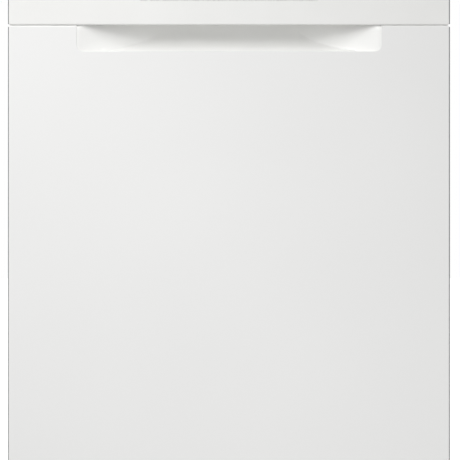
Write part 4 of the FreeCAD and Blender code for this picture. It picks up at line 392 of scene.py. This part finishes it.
def makeGripScoop(d):
    # finger recess: a quarter round about the seam, y = front + R sin a, z = seam - R cos a, up to the depth that the
    # sloping ends allow at x, then straight up behind the panel's lip and forwards under its roof
    ramp = np.linspace(0, d["ramp"], 53)
    x = np.unique(np.concatenate([-d["half"] + ramp, [-d["half"] - d["flange"]], d["half"] - ramp,
                                  [d["half"] + d["flange"]], np.linspace(d["ramp"] - d["half"], d["half"] - d["ramp"], 43)]))
    deepest = (1 - (1 - np.clip((d["half"] - np.abs(x)) / d["ramp"], 0, 1)) ** 1.25) * d["radius"]
    deepest = np.maximum(deepest, d["behind"] + 0.02)
    start = math.asin(d["behind"] / d["radius"])
    share = np.linspace(0, 1, 26)[:, None]
    a = start + share * (np.arcsin(deepest / d["radius"]) - start)
    arcY, arcZ = d["radius"] * np.sin(a), d["axisZ"] - d["radius"] * np.cos(a)
    flangeZ = np.array([[-d["flange"]], [-2.0], [-0.3]]) + arcZ[0]
    flangeY = 0 * flangeZ + d["behind"]
    low = arcZ[-1]
    rise = np.linspace(0, 1, 8)[1:, None]
    lowWallZ = low + rise * np.maximum(694.6 - low, 0)
    lowWallY = 0 * lowWallZ + deepest
    behindLip = np.maximum(deepest, d["lip"])
    r = np.minimum(d["roofCorner"], np.maximum(behindLip - d["lip"], 0) * 0.9)
    turn = np.radians(np.linspace(0, 90, 6))[:, None]
    highZ = np.vstack([0 * low + 696.0 + 0 * r, 0 * low + 703.0, d["top"] - r + r * np.sin(turn)])
    highY = np.vstack([behindLip, behindLip, behindLip - r + r * np.cos(turn)])
    highZ = np.maximum(highZ, lowWallZ[-1] + 0.4)
    roofZ, roofY = 0 * low + d["top"], 0 * low + d["lip"]
    depth = np.vstack([flangeY, arcY, lowWallY, highY, roofY])
    height = np.vstack([flangeZ, arcZ, lowWallZ, np.maximum.accumulate(highZ, axis=0), roofZ])
    across = np.broadcast_to(x, depth.shape).copy()
    high = len(flangeY) + len(arcY) + len(lowWallY)
    across[high:] = np.clip(across[high:], -d["half"], d["half"])
    points = np.stack([across, d["front"] + depth, height], -1)
    faces = [face[::-1] for face in gridFaces(*depth.shape)]
    piece = newPiece("gripScoop", points, faces, gripAbs, "grip_cup", sharp=70, closed=False)
    wall = piece.modifiers.new("wall", "SOLIDIFY")
    wall.thickness, wall.offset, wall.use_even_offset = d["wall"] * mm, -1, False
    return piece


scoop = makeGripScoop(gripScoop)
print("door front made")


def bentPath(corners, bend, steps=7):
    # straight runs joined by tangent arcs: centre + (sin((1-t)w) first + sin(tw) last) / sin w, w being the turn
    corners = np.array(corners, float)
    places = [corners[:1]]
    for before, here, after in zip(corners, corners[1:], corners[2:]):
        arrive, leave = unit(here - before), unit(after - here)
        turn = math.acos(np.clip(arrive @ leave, -1, 1))
        back = bend * math.tan(turn / 2)
        centre = here + unit(leave - arrive) * bend / math.cos(turn / 2)
        first, last = here - arrive * back - centre, here + leave * back - centre
        t = np.linspace(0, 1, steps)[:, None]
        places.append(centre + (np.sin((1 - t) * turn) * first + np.sin(t * turn) * last) / math.sin(turn))
    return np.vstack(places + [corners[-1:]])


def carried(path, section, flat, scales=1.0, start=0):
    # a closed section (across, along flat) carried along a path, square to it: path + s * (across * side + up * flat)
    steps = unit(np.diff(path, axis=0))
    ahead = unit(np.vstack([steps[:1], steps[:-1] + steps[1:], steps[-1:]]))
    side = unit(np.cross(ahead, flat))
    spread = np.broadcast_to(scales, len(path))[:, None, None]
    points = path[:, None] + spread * (section[None, :, :1] * side[:, None] + section[None, :, 1:] * np.array(flat))
    rows, columns = len(path), len(section)
    faces = gridFaces(rows, columns, closedColumns=True, start=start)
    faces += [list(range(start, start + columns)), list(range(start + (rows - 1) * columns, start + rows * columns))]
    return points.reshape(-1, 3), faces


def circle(radius, sides):
    a = np.arange(sides) * 2 * np.pi / sides
    return radius * np.stack([np.cos(a), np.sin(a)], -1)


def domes(places, radius, stem, sides=10, rings=5):
    # rounded caps on upright wire ends: a short stem, then r cos b across and r sin b up
    b = np.radians(np.linspace(0, 89, rings))
    across = np.concatenate([[radius], radius * np.cos(b)])
    up = np.concatenate([[-stem], radius * 0.8 * np.sin(b)])
    ring = circle(1, sides)
    dome = np.concatenate([across[:, None, None] * ring[None], np.broadcast_to(up[:, None, None], (rings + 1, sides, 1))], -1)
    points = np.array(places, float)[:, None, None] + dome[None]
    size = (rings + 1) * sides
    one = gridFaces(rings + 1, sides, closedColumns=True) + [list(range(sides)), list(range(size - sides, size))]
    faces = [[i + n * size for i in face] for n in range(len(places)) for face in one]
    return points.reshape(-1, 3), faces


seamTongue = dict(y=-282.6, depth=1.6, low=696.0, high=698.0, inner=206.1, outer=296.6)


def makeSeamTongue(d):
    # the panel's tongue behind the parting gap, a flat oval bar on each side of the grip
    a = np.arange(16) * np.pi / 8
    oval = np.stack([(d["high"] - d["low"]) / 2 * np.sign(np.sin(a)) * np.abs(np.sin(a)) ** 0.5, d["depth"] / 2 * np.cos(a)], -1)
    middle = (d["high"] + d["low"]) / 2
    points, faces = [], []
    for side in (-1, 1):
        path = np.array([[side * x, d["y"] + d["depth"] / 2, middle] for x in np.linspace(d["inner"], d["outer"], 4)])
        more, quads = carried(path, oval, (0, 1, 0), start=len(points) * 64)
        points.append(more)
        faces += quads
    return newPiece("seamTongue", np.vstack(points), faces, whiteAbs, "control_panel", replaces=False)


seamTongueBars = makeSeamTongue(seamTongue)

topCloser = dict(y=-244.5, thick=3.0, low=798.2, high=812.0, inner=38, outer=288.5)


def makeTopCloser(d):
    # strips that close the panel above the inner door, on each side of the latch's slot, with rounded long edges
    a = np.arange(24) * np.pi / 12
    oval = np.stack([d["thick"] / 2 * np.sign(np.cos(a)) * np.abs(np.cos(a)) ** 0.5,
                     (d["high"] - d["low"]) / 2 * np.sign(np.sin(a)) * np.abs(np.sin(a)) ** 0.2], -1)
    points, faces = [], []
    for side in (-1, 1):
        path = np.array([[side * x, d["y"], (d["low"] + d["high"]) / 2] for x in np.linspace(d["inner"], d["outer"], 4)])
        more, quads = carried(path, oval, (0, 0, 1), start=len(points) * 96)
        points.append(more)
        faces += quads
    return newPiece("topCloser", np.vstack(points), faces, whiteAbs, "control_panel", replaces=False)


topClosers = makeTopCloser(topCloser)

# painted shade: dark strips just outside the door's side edges, where the rounded edge falls into shade
edgeShadeStrip = dict(out=298.4, width=1.7, depth=2.6, y=-282.2, spans=((105.5, 695.0), (699.0, 813.0)))


def makeEdgeShadeStrips(d):
    # painted shade for the door's side edges: a slim grey strip down each side of the door, one flat oval strip beside
    # the panel and one beside the door sheet
    a = np.arange(12) * np.pi / 6
    oval = np.stack([d["depth"] / 2 * np.cos(a), d["width"] / 2 * np.sin(a)], -1)
    points, faces = [], []
    for side in (-1, 1):
        for low, high in d["spans"]:
            path = np.array([[side * d["out"], d["y"], z] for z in np.linspace(low, high, 4)])
            more, quads = carried(path, oval, (1, 0, 0), start=len(points) * 48)
            points.append(more)
            faces += quads
    return newPiece("edgeShadeStrip", np.vstack(points), faces, edgeShadeGrey, "door_panel", replaces=False)


edgeShadeStrips = makeEdgeShadeStrips(edgeShadeStrip)

gasketSection = dict(middle=276.5, top=792.4, low=160.2, corner=13, width=4.35, depth=2.2, y=-227.3, ribs=0.14)


def makeGasket(d):
    # extruded door seal: a soft oval section with three ribs on its face, carried up one side, over and down the other
    m = d["middle"]
    path = bentPath([(-m, d["y"], d["low"]), (-m, d["y"], d["top"]), (m, d["y"], d["top"]), (m, d["y"], d["low"])], d["corner"], 12)
    a = np.arange(36) * np.pi / 18
    rib = 1 - d["ribs"] * (np.sin(a) < 0) * np.cos(3 * (a + np.pi / 2)) ** 2
    section = np.stack([d["width"] * np.sign(np.cos(a)) * np.abs(np.cos(a)) ** 0.7,
                        d["depth"] * rib * np.sign(np.sin(a)) * np.abs(np.sin(a)) ** 0.6], -1)
    points, faces = carried(path, section, (0, 1, 0))
    return newPiece("doorSeal", points, faces, epdmRubber, "door_gasket", sharp=60)


doorSeal = makeGasket(gasketSection)

feltSaddle = dict(half=274.3, top=790.6, low=200.5, corner=34, front=-212.5, back=250.5, thick=7.4, wave=0.35)


def makeFeltSaddle(d):
    # bitumen felt laid over the tub: inside flat, outside waving a little, r = thick * rim(y) + waves(s, y), where
    # rim(y) = (1 - |2y|^14)^(1/3) rounds the cut edges
    m = d["half"]
    path = bentPath([(-m, 0, d["low"]), (-m, 0, d["top"]), (m, 0, d["top"]), (m, 0, d["low"])], d["corner"], 14)
    run = np.concatenate([[0], np.cumsum(np.linalg.norm(np.diff(path, axis=0), axis=1))])
    s = np.unique(np.concatenate([np.linspace(0, run[-1], 150), run]))
    path = np.stack([np.interp(s, run, path[:, k]) for k in range(3)], -1)
    steps = unit(np.diff(path, axis=0))
    ahead = unit(np.vstack([steps[:1], steps[:-1] + steps[1:], steps[-1:]]))
    out = np.cross(ahead, (0, -1, 0))
    share = np.linspace(-1, 1, 48)
    y = (d["front"] + d["back"]) / 2 + share * (d["back"] - d["front"]) / 2
    rim = np.maximum(1 - np.abs(share) ** 14, 0) ** (1 / 3)
    ends = np.maximum(1 - np.abs(2 * s / s[-1] - 1) ** 60, 0)[:, None] ** (1 / 3)
    waves = d["wave"] * (np.sin(s[:, None] / 17 + 1.3) * np.sin(y / 13) + 0.7 * np.sin((s[:, None] + 1.6 * y) / 9.5))
    outside = d["thick"] / 2 * rim * ends + waves * rim * ends
    inside = -d["thick"] / 2 * rim * ends
    offset = np.concatenate([outside, inside[:, ::-1]], 1)
    along = np.concatenate([y, y[::-1]])
    points = path[:, None] + out[:, None] * offset[..., None] + along[None, :, None] * np.array([0, 1, 0])
    rows, columns = offset.shape
    faces = gridFaces(rows, columns, closedColumns=True)
    faces += [list(range(columns)), list(range((rows - 1) * columns, rows * columns))]
    piece = newPiece("feltSaddle", points, faces, bitumenFelt, "insulation_blanket", sharp=70)
    return piece


saddle = makeFeltSaddle(feltSaddle)

sideSheet = dict(out=295, sheet=0.8, front=-222, back=283, low=62, high=812, flange=11, bend=1.6, frontFlangeFrom=164,
                 backFlangeFrom=114, bead=0.9, slope=7, beadOut=(-178, 238, 132, 742), beadIn=(-150, 210, 160, 714),
                 crossBeads=(352, 522), crossHalf=16)


def within(value, low, high, slope):
    # 1 between low and high, easing to 0 over the slope outside
    rise = np.clip((value - low) / slope + 0.5, 0, 1) * np.clip((high - value) / slope + 0.5, 0, 1)
    return rise * rise * (3 - 2 * rise)


def makeSideSheet(name, node, side, d):
    # galvanised side: the section flange, bend, face, bend, flange over its height; the face stands out in a ring bead
    # with two cross beads, x = out + bead * (ring or cross), and an inner skin one sheet further in closes it
    turn = np.radians(np.linspace(0, 90, 5))
    faceY = np.unique(np.concatenate([np.linspace(d["front"] + d["bend"], d["back"] - d["bend"], 24)] +
                                     [np.linspace(y - d["slope"], y + d["slope"], 9)
                                      for y in d["beadOut"][:2] + d["beadIn"][:2]]))
    z = np.unique(np.concatenate([np.linspace(d["low"], d["high"], 30), [d["frontFlangeFrom"] - 0.05, d["backFlangeFrom"] - 0.05,
                                  d["frontFlangeFrom"] + 0.05, d["backFlangeFrom"] + 0.05]] +
                                 [np.linspace(at - d["slope"], at + d["slope"], 9) for at in d["beadOut"][2:] + d["beadIn"][2:]] +
                                 [np.linspace(at - d["crossHalf"] - d["slope"], at + d["crossHalf"] + d["slope"], 21)
                                  for at in d["crossBeads"]]))[:, None]
    ring = within(faceY, *d["beadOut"][:2], d["slope"]) * within(z, *d["beadOut"][2:], d["slope"])
    ring = ring * (1 - within(faceY, *d["beadIn"][:2], d["slope"]) * within(z, *d["beadIn"][2:], d["slope"]))
    for at in d["crossBeads"]:
        ring = np.maximum(ring, within(faceY, *d["beadOut"][:2], d["slope"]) *
                          within(z, at - d["crossHalf"], at + d["crossHalf"], d["slope"]))
    skins = []
    for inward in (0, d["sheet"]):
        bend = d["bend"] - inward
        frontReach = np.where(z > d["frontFlangeFrom"], d["flange"], d["bend"])
        backReach = np.where(z > d["backFlangeFrom"], d["flange"], d["bend"])
        rows = np.ones_like(z)
        x = np.hstack([d["out"] - frontReach, d["out"] - d["bend"] + rows * bend * np.sin(turn),
                       d["out"] - inward + d["bead"] * ring, d["out"] - d["bend"] + rows * bend * np.cos(turn),
                       d["out"] - backReach])
        y = np.hstack([rows * (d["front"] + inward), d["front"] + d["bend"] - rows * bend * np.cos(turn), rows * faceY,
                       d["back"] - d["bend"] + rows * bend * np.sin(turn), rows * (d["back"] - inward)])
        skins.append(np.stack([side * x, y, z * np.ones_like(x)], -1))
    points = np.concatenate([skins[0], skins[1][:, ::-1]], 1)
    rows, columns = points.shape[:2]
    last = (rows - 1) * columns
    half = columns // 2
    faces = gridFaces(rows, columns, closedColumns=True)
    faces += [[first + k, first + k + 1, first + columns - 2 - k, first + columns - 1 - k]
              for first in (0, last) for k in range(half - 1)]
    return newPiece(name, points, faces, zincSheet, node, sharp=50)


leftSide = makeSideSheet("leftSideSheet", "side_panel_left", -1, sideSheet)
rightSide = makeSideSheet("rightSideSheet", "side_panel_right", 1, sideSheet)

rackEnds = dict(side=236, near=-212, far=220, columnHalf=202, firstLine=-178, lastLine=186, lowerTop=326.8, upperTop=556,
                tineHalf=188, fixedRow=(-56, 231.8), middleRow=(28, 236.6), rearRow=(112, 236.6), radius=2.35, stem=3.0)


def makeRackEnds(d):
    # coated tips on the wires' upright ends and on the tines
    columns, lines = np.linspace(-d["columnHalf"], d["columnHalf"], 12), np.linspace(d["firstLine"], d["lastLine"], 11)
    tines = np.linspace(-d["tineHalf"], d["tineHalf"], 11)

    def around(top):
        return [(x, y, top) for x in columns for y in (d["near"], d["far"])] + \
            [(x, y, top) for y in lines for x in (-d["side"], d["side"])]

    fixed = [(x, *d["fixedRow"]) for x in tines]
    for name, node, places in (("lowerBasketTips", "lower_rack", around(d["lowerTop"]) + fixed),
                               ("upperBasketTips", "upper_rack", around(d["upperTop"])),
                               ("middleTineTips", "tine_row_middle", [(x, *d["middleRow"]) for x in tines]),
                               ("rearTineTips", "tine_row_rear", [(x, *d["rearRow"]) for x in tines])):
        newPiece(name, *domes(places, d["radius"], d["stem"]), nylonCoat, node, sharp=60, replaces=False)


makeRackEnds(rackEnds)
print("seal, felt, side sheets and rack tips made")


def refined(node, material, bevel=0.0, angle=32, smooth=30, segments=2):
    # a CAD node's own shape with its doubles merged, flat facets joined, and broken edges of the given millimetres
    source = frame["nodes"][node]
    words = node.split("_")
    name = words[0] + "".join(word.capitalize() for word in words[1:]) + "Finished"
    work = bmesh.new()
    work.from_mesh(source.data)
    bmesh.ops.remove_doubles(work, verts=work.verts, dist=0.003 * mm)
    bmesh.ops.dissolve_degenerate(work, edges=work.edges, dist=0.002 * mm)
    if bevel:
        bmesh.ops.dissolve_limit(work, angle_limit=math.radians(0.4), verts=work.verts, edges=work.edges)
    mesh = bpy.data.meshes.new(name)
    work.to_mesh(mesh)
    work.free()
    mesh.materials.clear()
    mesh.materials.append(material)
    mesh.shade_smooth()
    piece = bpy.data.objects.new(name, mesh)
    scene.collection.objects.link(piece)
    if bevel:
        edges = piece.modifiers.new("brokenEdges", "BEVEL")
        edges.width, edges.segments, edges.limit_method = bevel * mm, segments, "ANGLE"
        edges.angle_limit = math.radians(angle)
    else:
        mesh.set_sharp_from_angle(angle=math.radians(smooth))
    weighted = piece.modifiers.new("flatFaces", "WEIGHTED_NORMAL")
    weighted.mode, weighted.weight, weighted.keep_sharp = "FACE_AREA", 80, True
    return finishPiece(piece, node)


finishes = {
    "control_inset": (whiteAbs, 0.35), "display_window": (smokedAcrylic, 0.3), "power_button": (buttonAbs, 0.7),
    "program_button": (buttonAbs, 0.7), "start_button": (buttonAbs, 0.7), "door_liner": (linerSteel, 0),
    "dispenser_housing": (greyPlastic, 0.5), "dispenser_lid": (palePlastic, 0.7), "rinse_cap": (palePlastic, 0.5),
    "control_board": (circuitBoard, 0.3), "door_latch": (pumpPlastic, 0.3), "door_screws": (bareSteel, 0.15),
    "hinge_arms": (bareSteel, 0.25), "tub": (tubSteel, 0), "top_frame": (zincSheet, 0), "kick_plate": (plinthEnamel, 0.2),
    "base_tray": (darkPlastic, 0.6), "sump": (pumpPlastic, 0.6), "circulation_pump": (pumpPlastic, 0.6),
    "pump_impeller": (palePlastic, 0.2), "drain_pump": (pumpPlastic, 0.5), "softener": (palePlastic, 0.6),
    "salt_cap": (greyPlastic, 0.5), "inlet_valve": (palePlastic, 0.4), "mains_gland": (darkPlastic, 0.4),
    "air_break": (palePlastic, 0.8), "feed_pipe": (greyPlastic, 0.6), "filter_plate": (linerSteel, 0.2),
    "filter_cylinder": (palePlastic, 0.3), "spray_hub": (greyPlastic, 0.4), "lower_spray_arm": (greyPlastic, 0.4),
    "upper_spray_arm": (greyPlastic, 0.4), "spray_feed_tube": (greyPlastic, 0.4), "outer_rails": (bareSteel, 0.2),
    "inner_rails": (bareSteel, 0.2), "latch_strike": (bareSteel, 0.2), "hinge_brackets": (bareSteel, 0.25),
    "upper_rack": (nylonCoat, 0), "lower_rack": (nylonCoat, 0), "tine_row_middle": (nylonCoat, 0),
    "tine_row_rear": (nylonCoat, 0), "cutlery_basket": (greyPlastic, 0.4), "cup_shelf_left": (palePlastic, 0.4),
    "cup_shelf_right": (palePlastic, 0.4), "front_rollers": (palePlastic, 0.5), "rear_rollers": (palePlastic, 0.5),
    "front_wheels": (palePlastic, 0.8), "rear_wheels": (palePlastic, 0.8), "foot_front_left": (darkPlastic, 0.6),
    "foot_front_right": (darkPlastic, 0.6), "foot_rear_left": (darkPlastic, 0.6), "foot_rear_right": (darkPlastic, 0.6),
    "door_insulation": (bitumenFelt, 1.2),
}
for node, (material, bevel) in finishes.items():
    refined(node, material, bevel)
plain = [node for node, thing in frame["nodes"].items() if not thing.hide_render]
print("nodes without a finish:", plain)
print("carried-over nodes finished:", len(finishes))


stage = dict(floorHalf=9.0, floorGlow=0.45, horizon=0.66, zenith=0.92,
             lamps=(dict(name="highKey", place=(-0.75, -1.35, 2.0), aim=(0.02, -0.285, 0.64), size=0.6, power=0.98, spread=62),
                    dict(name="sideKey", place=(-1.0, -1.7, 1.5), aim=(-0.16, -0.285, 0.36), size=0.6, power=1.0, spread=54)))


def aimed(thing, place, aim):
    thing.location = place
    thing.rotation_euler = (Vector(aim) - Vector(place)).to_track_quat("-Z", "Y").to_euler()


def makeStage(d):
    # a pale floor that lights nothing itself, a broad soft key and a narrower one from the upper left, a weak dome
    half = d["floorHalf"]
    mesh = bpy.data.meshes.new("floor")
    mesh.from_pydata([(-half, -half, 0), (half, -half, 0), (half, half, 0), (-half, half, 0)], [], [(0, 1, 2, 3)])
    floor = bpy.data.objects.new("floor", mesh)
    scene.collection.objects.link(floor)
    floor.visible_diffuse = False
    material, _ = startMaterial("paintedStudioFloor")
    mesh.materials.append(endMaterial(material, {"Base Color": linear("#F9F9F8"), "Roughness": 0.8,
                                                 "Emission Color": (1, 1, 1, 1), "Emission Strength": d["floorGlow"]}))
    for lamp in d["lamps"]:
        light = bpy.data.lights.new(lamp["name"], "AREA")
        light.shape, light.size, light.energy = "DISK", lamp["size"], lamp["power"]
        light.spread = math.radians(lamp["spread"])
        thing = bpy.data.objects.new(lamp["name"], light)
        aimed(thing, lamp["place"], lamp["aim"])
        scene.collection.objects.link(thing)
    scene.world = bpy.data.worlds.new("studioDome")
    scene.world.use_nodes = True
    scene.world.node_tree.nodes.clear()
    seen = addNode(scene.world, "ShaderNodeLightPath")
    place = addNode(scene.world, "ShaderNodeTexCoord")
    height = addNode(scene.world, "ShaderNodeSeparateXYZ", links={"Vector": (place, "Generated")})
    rise = addNode(scene.world, "ShaderNodeMapRange", {"To Min": d["horizon"], "To Max": d["zenith"]},
                   {"Value": (height, "Z")})
    soft = addNode(scene.world, "ShaderNodeBackground", {"Color": (1, 1, 1, 1)}, {"Strength": (rise, "Result")})
    white = addNode(scene.world, "ShaderNodeBackground", {"Color": (1, 1, 1, 1), "Strength": 1.0})
    mixed = addNode(scene.world, "ShaderNodeMixShader", links={0: (seen, "Is Camera Ray"), 1: (soft, "Background"),
                                                               2: (white, "Background")})
    addNode(scene.world, "ShaderNodeOutputWorld", links={"Surface": (mixed, "Shader")})


makeStage(stage)

photoCamera = dict(place=(0.00135, -2.0128, 0.420), aim=(0.00135, 0, 0.420), lens=100, sensor=36)
cameraData = bpy.data.cameras.new("camera")
cameraData.lens, cameraData.sensor_width = photoCamera["lens"], photoCamera["sensor"]
camera = bpy.data.objects.new("camera", cameraData)
aimed(camera, photoCamera["place"], photoCamera["aim"])
scene.collection.objects.link(camera)
scene.camera = camera
print("stage, lights and camera made")
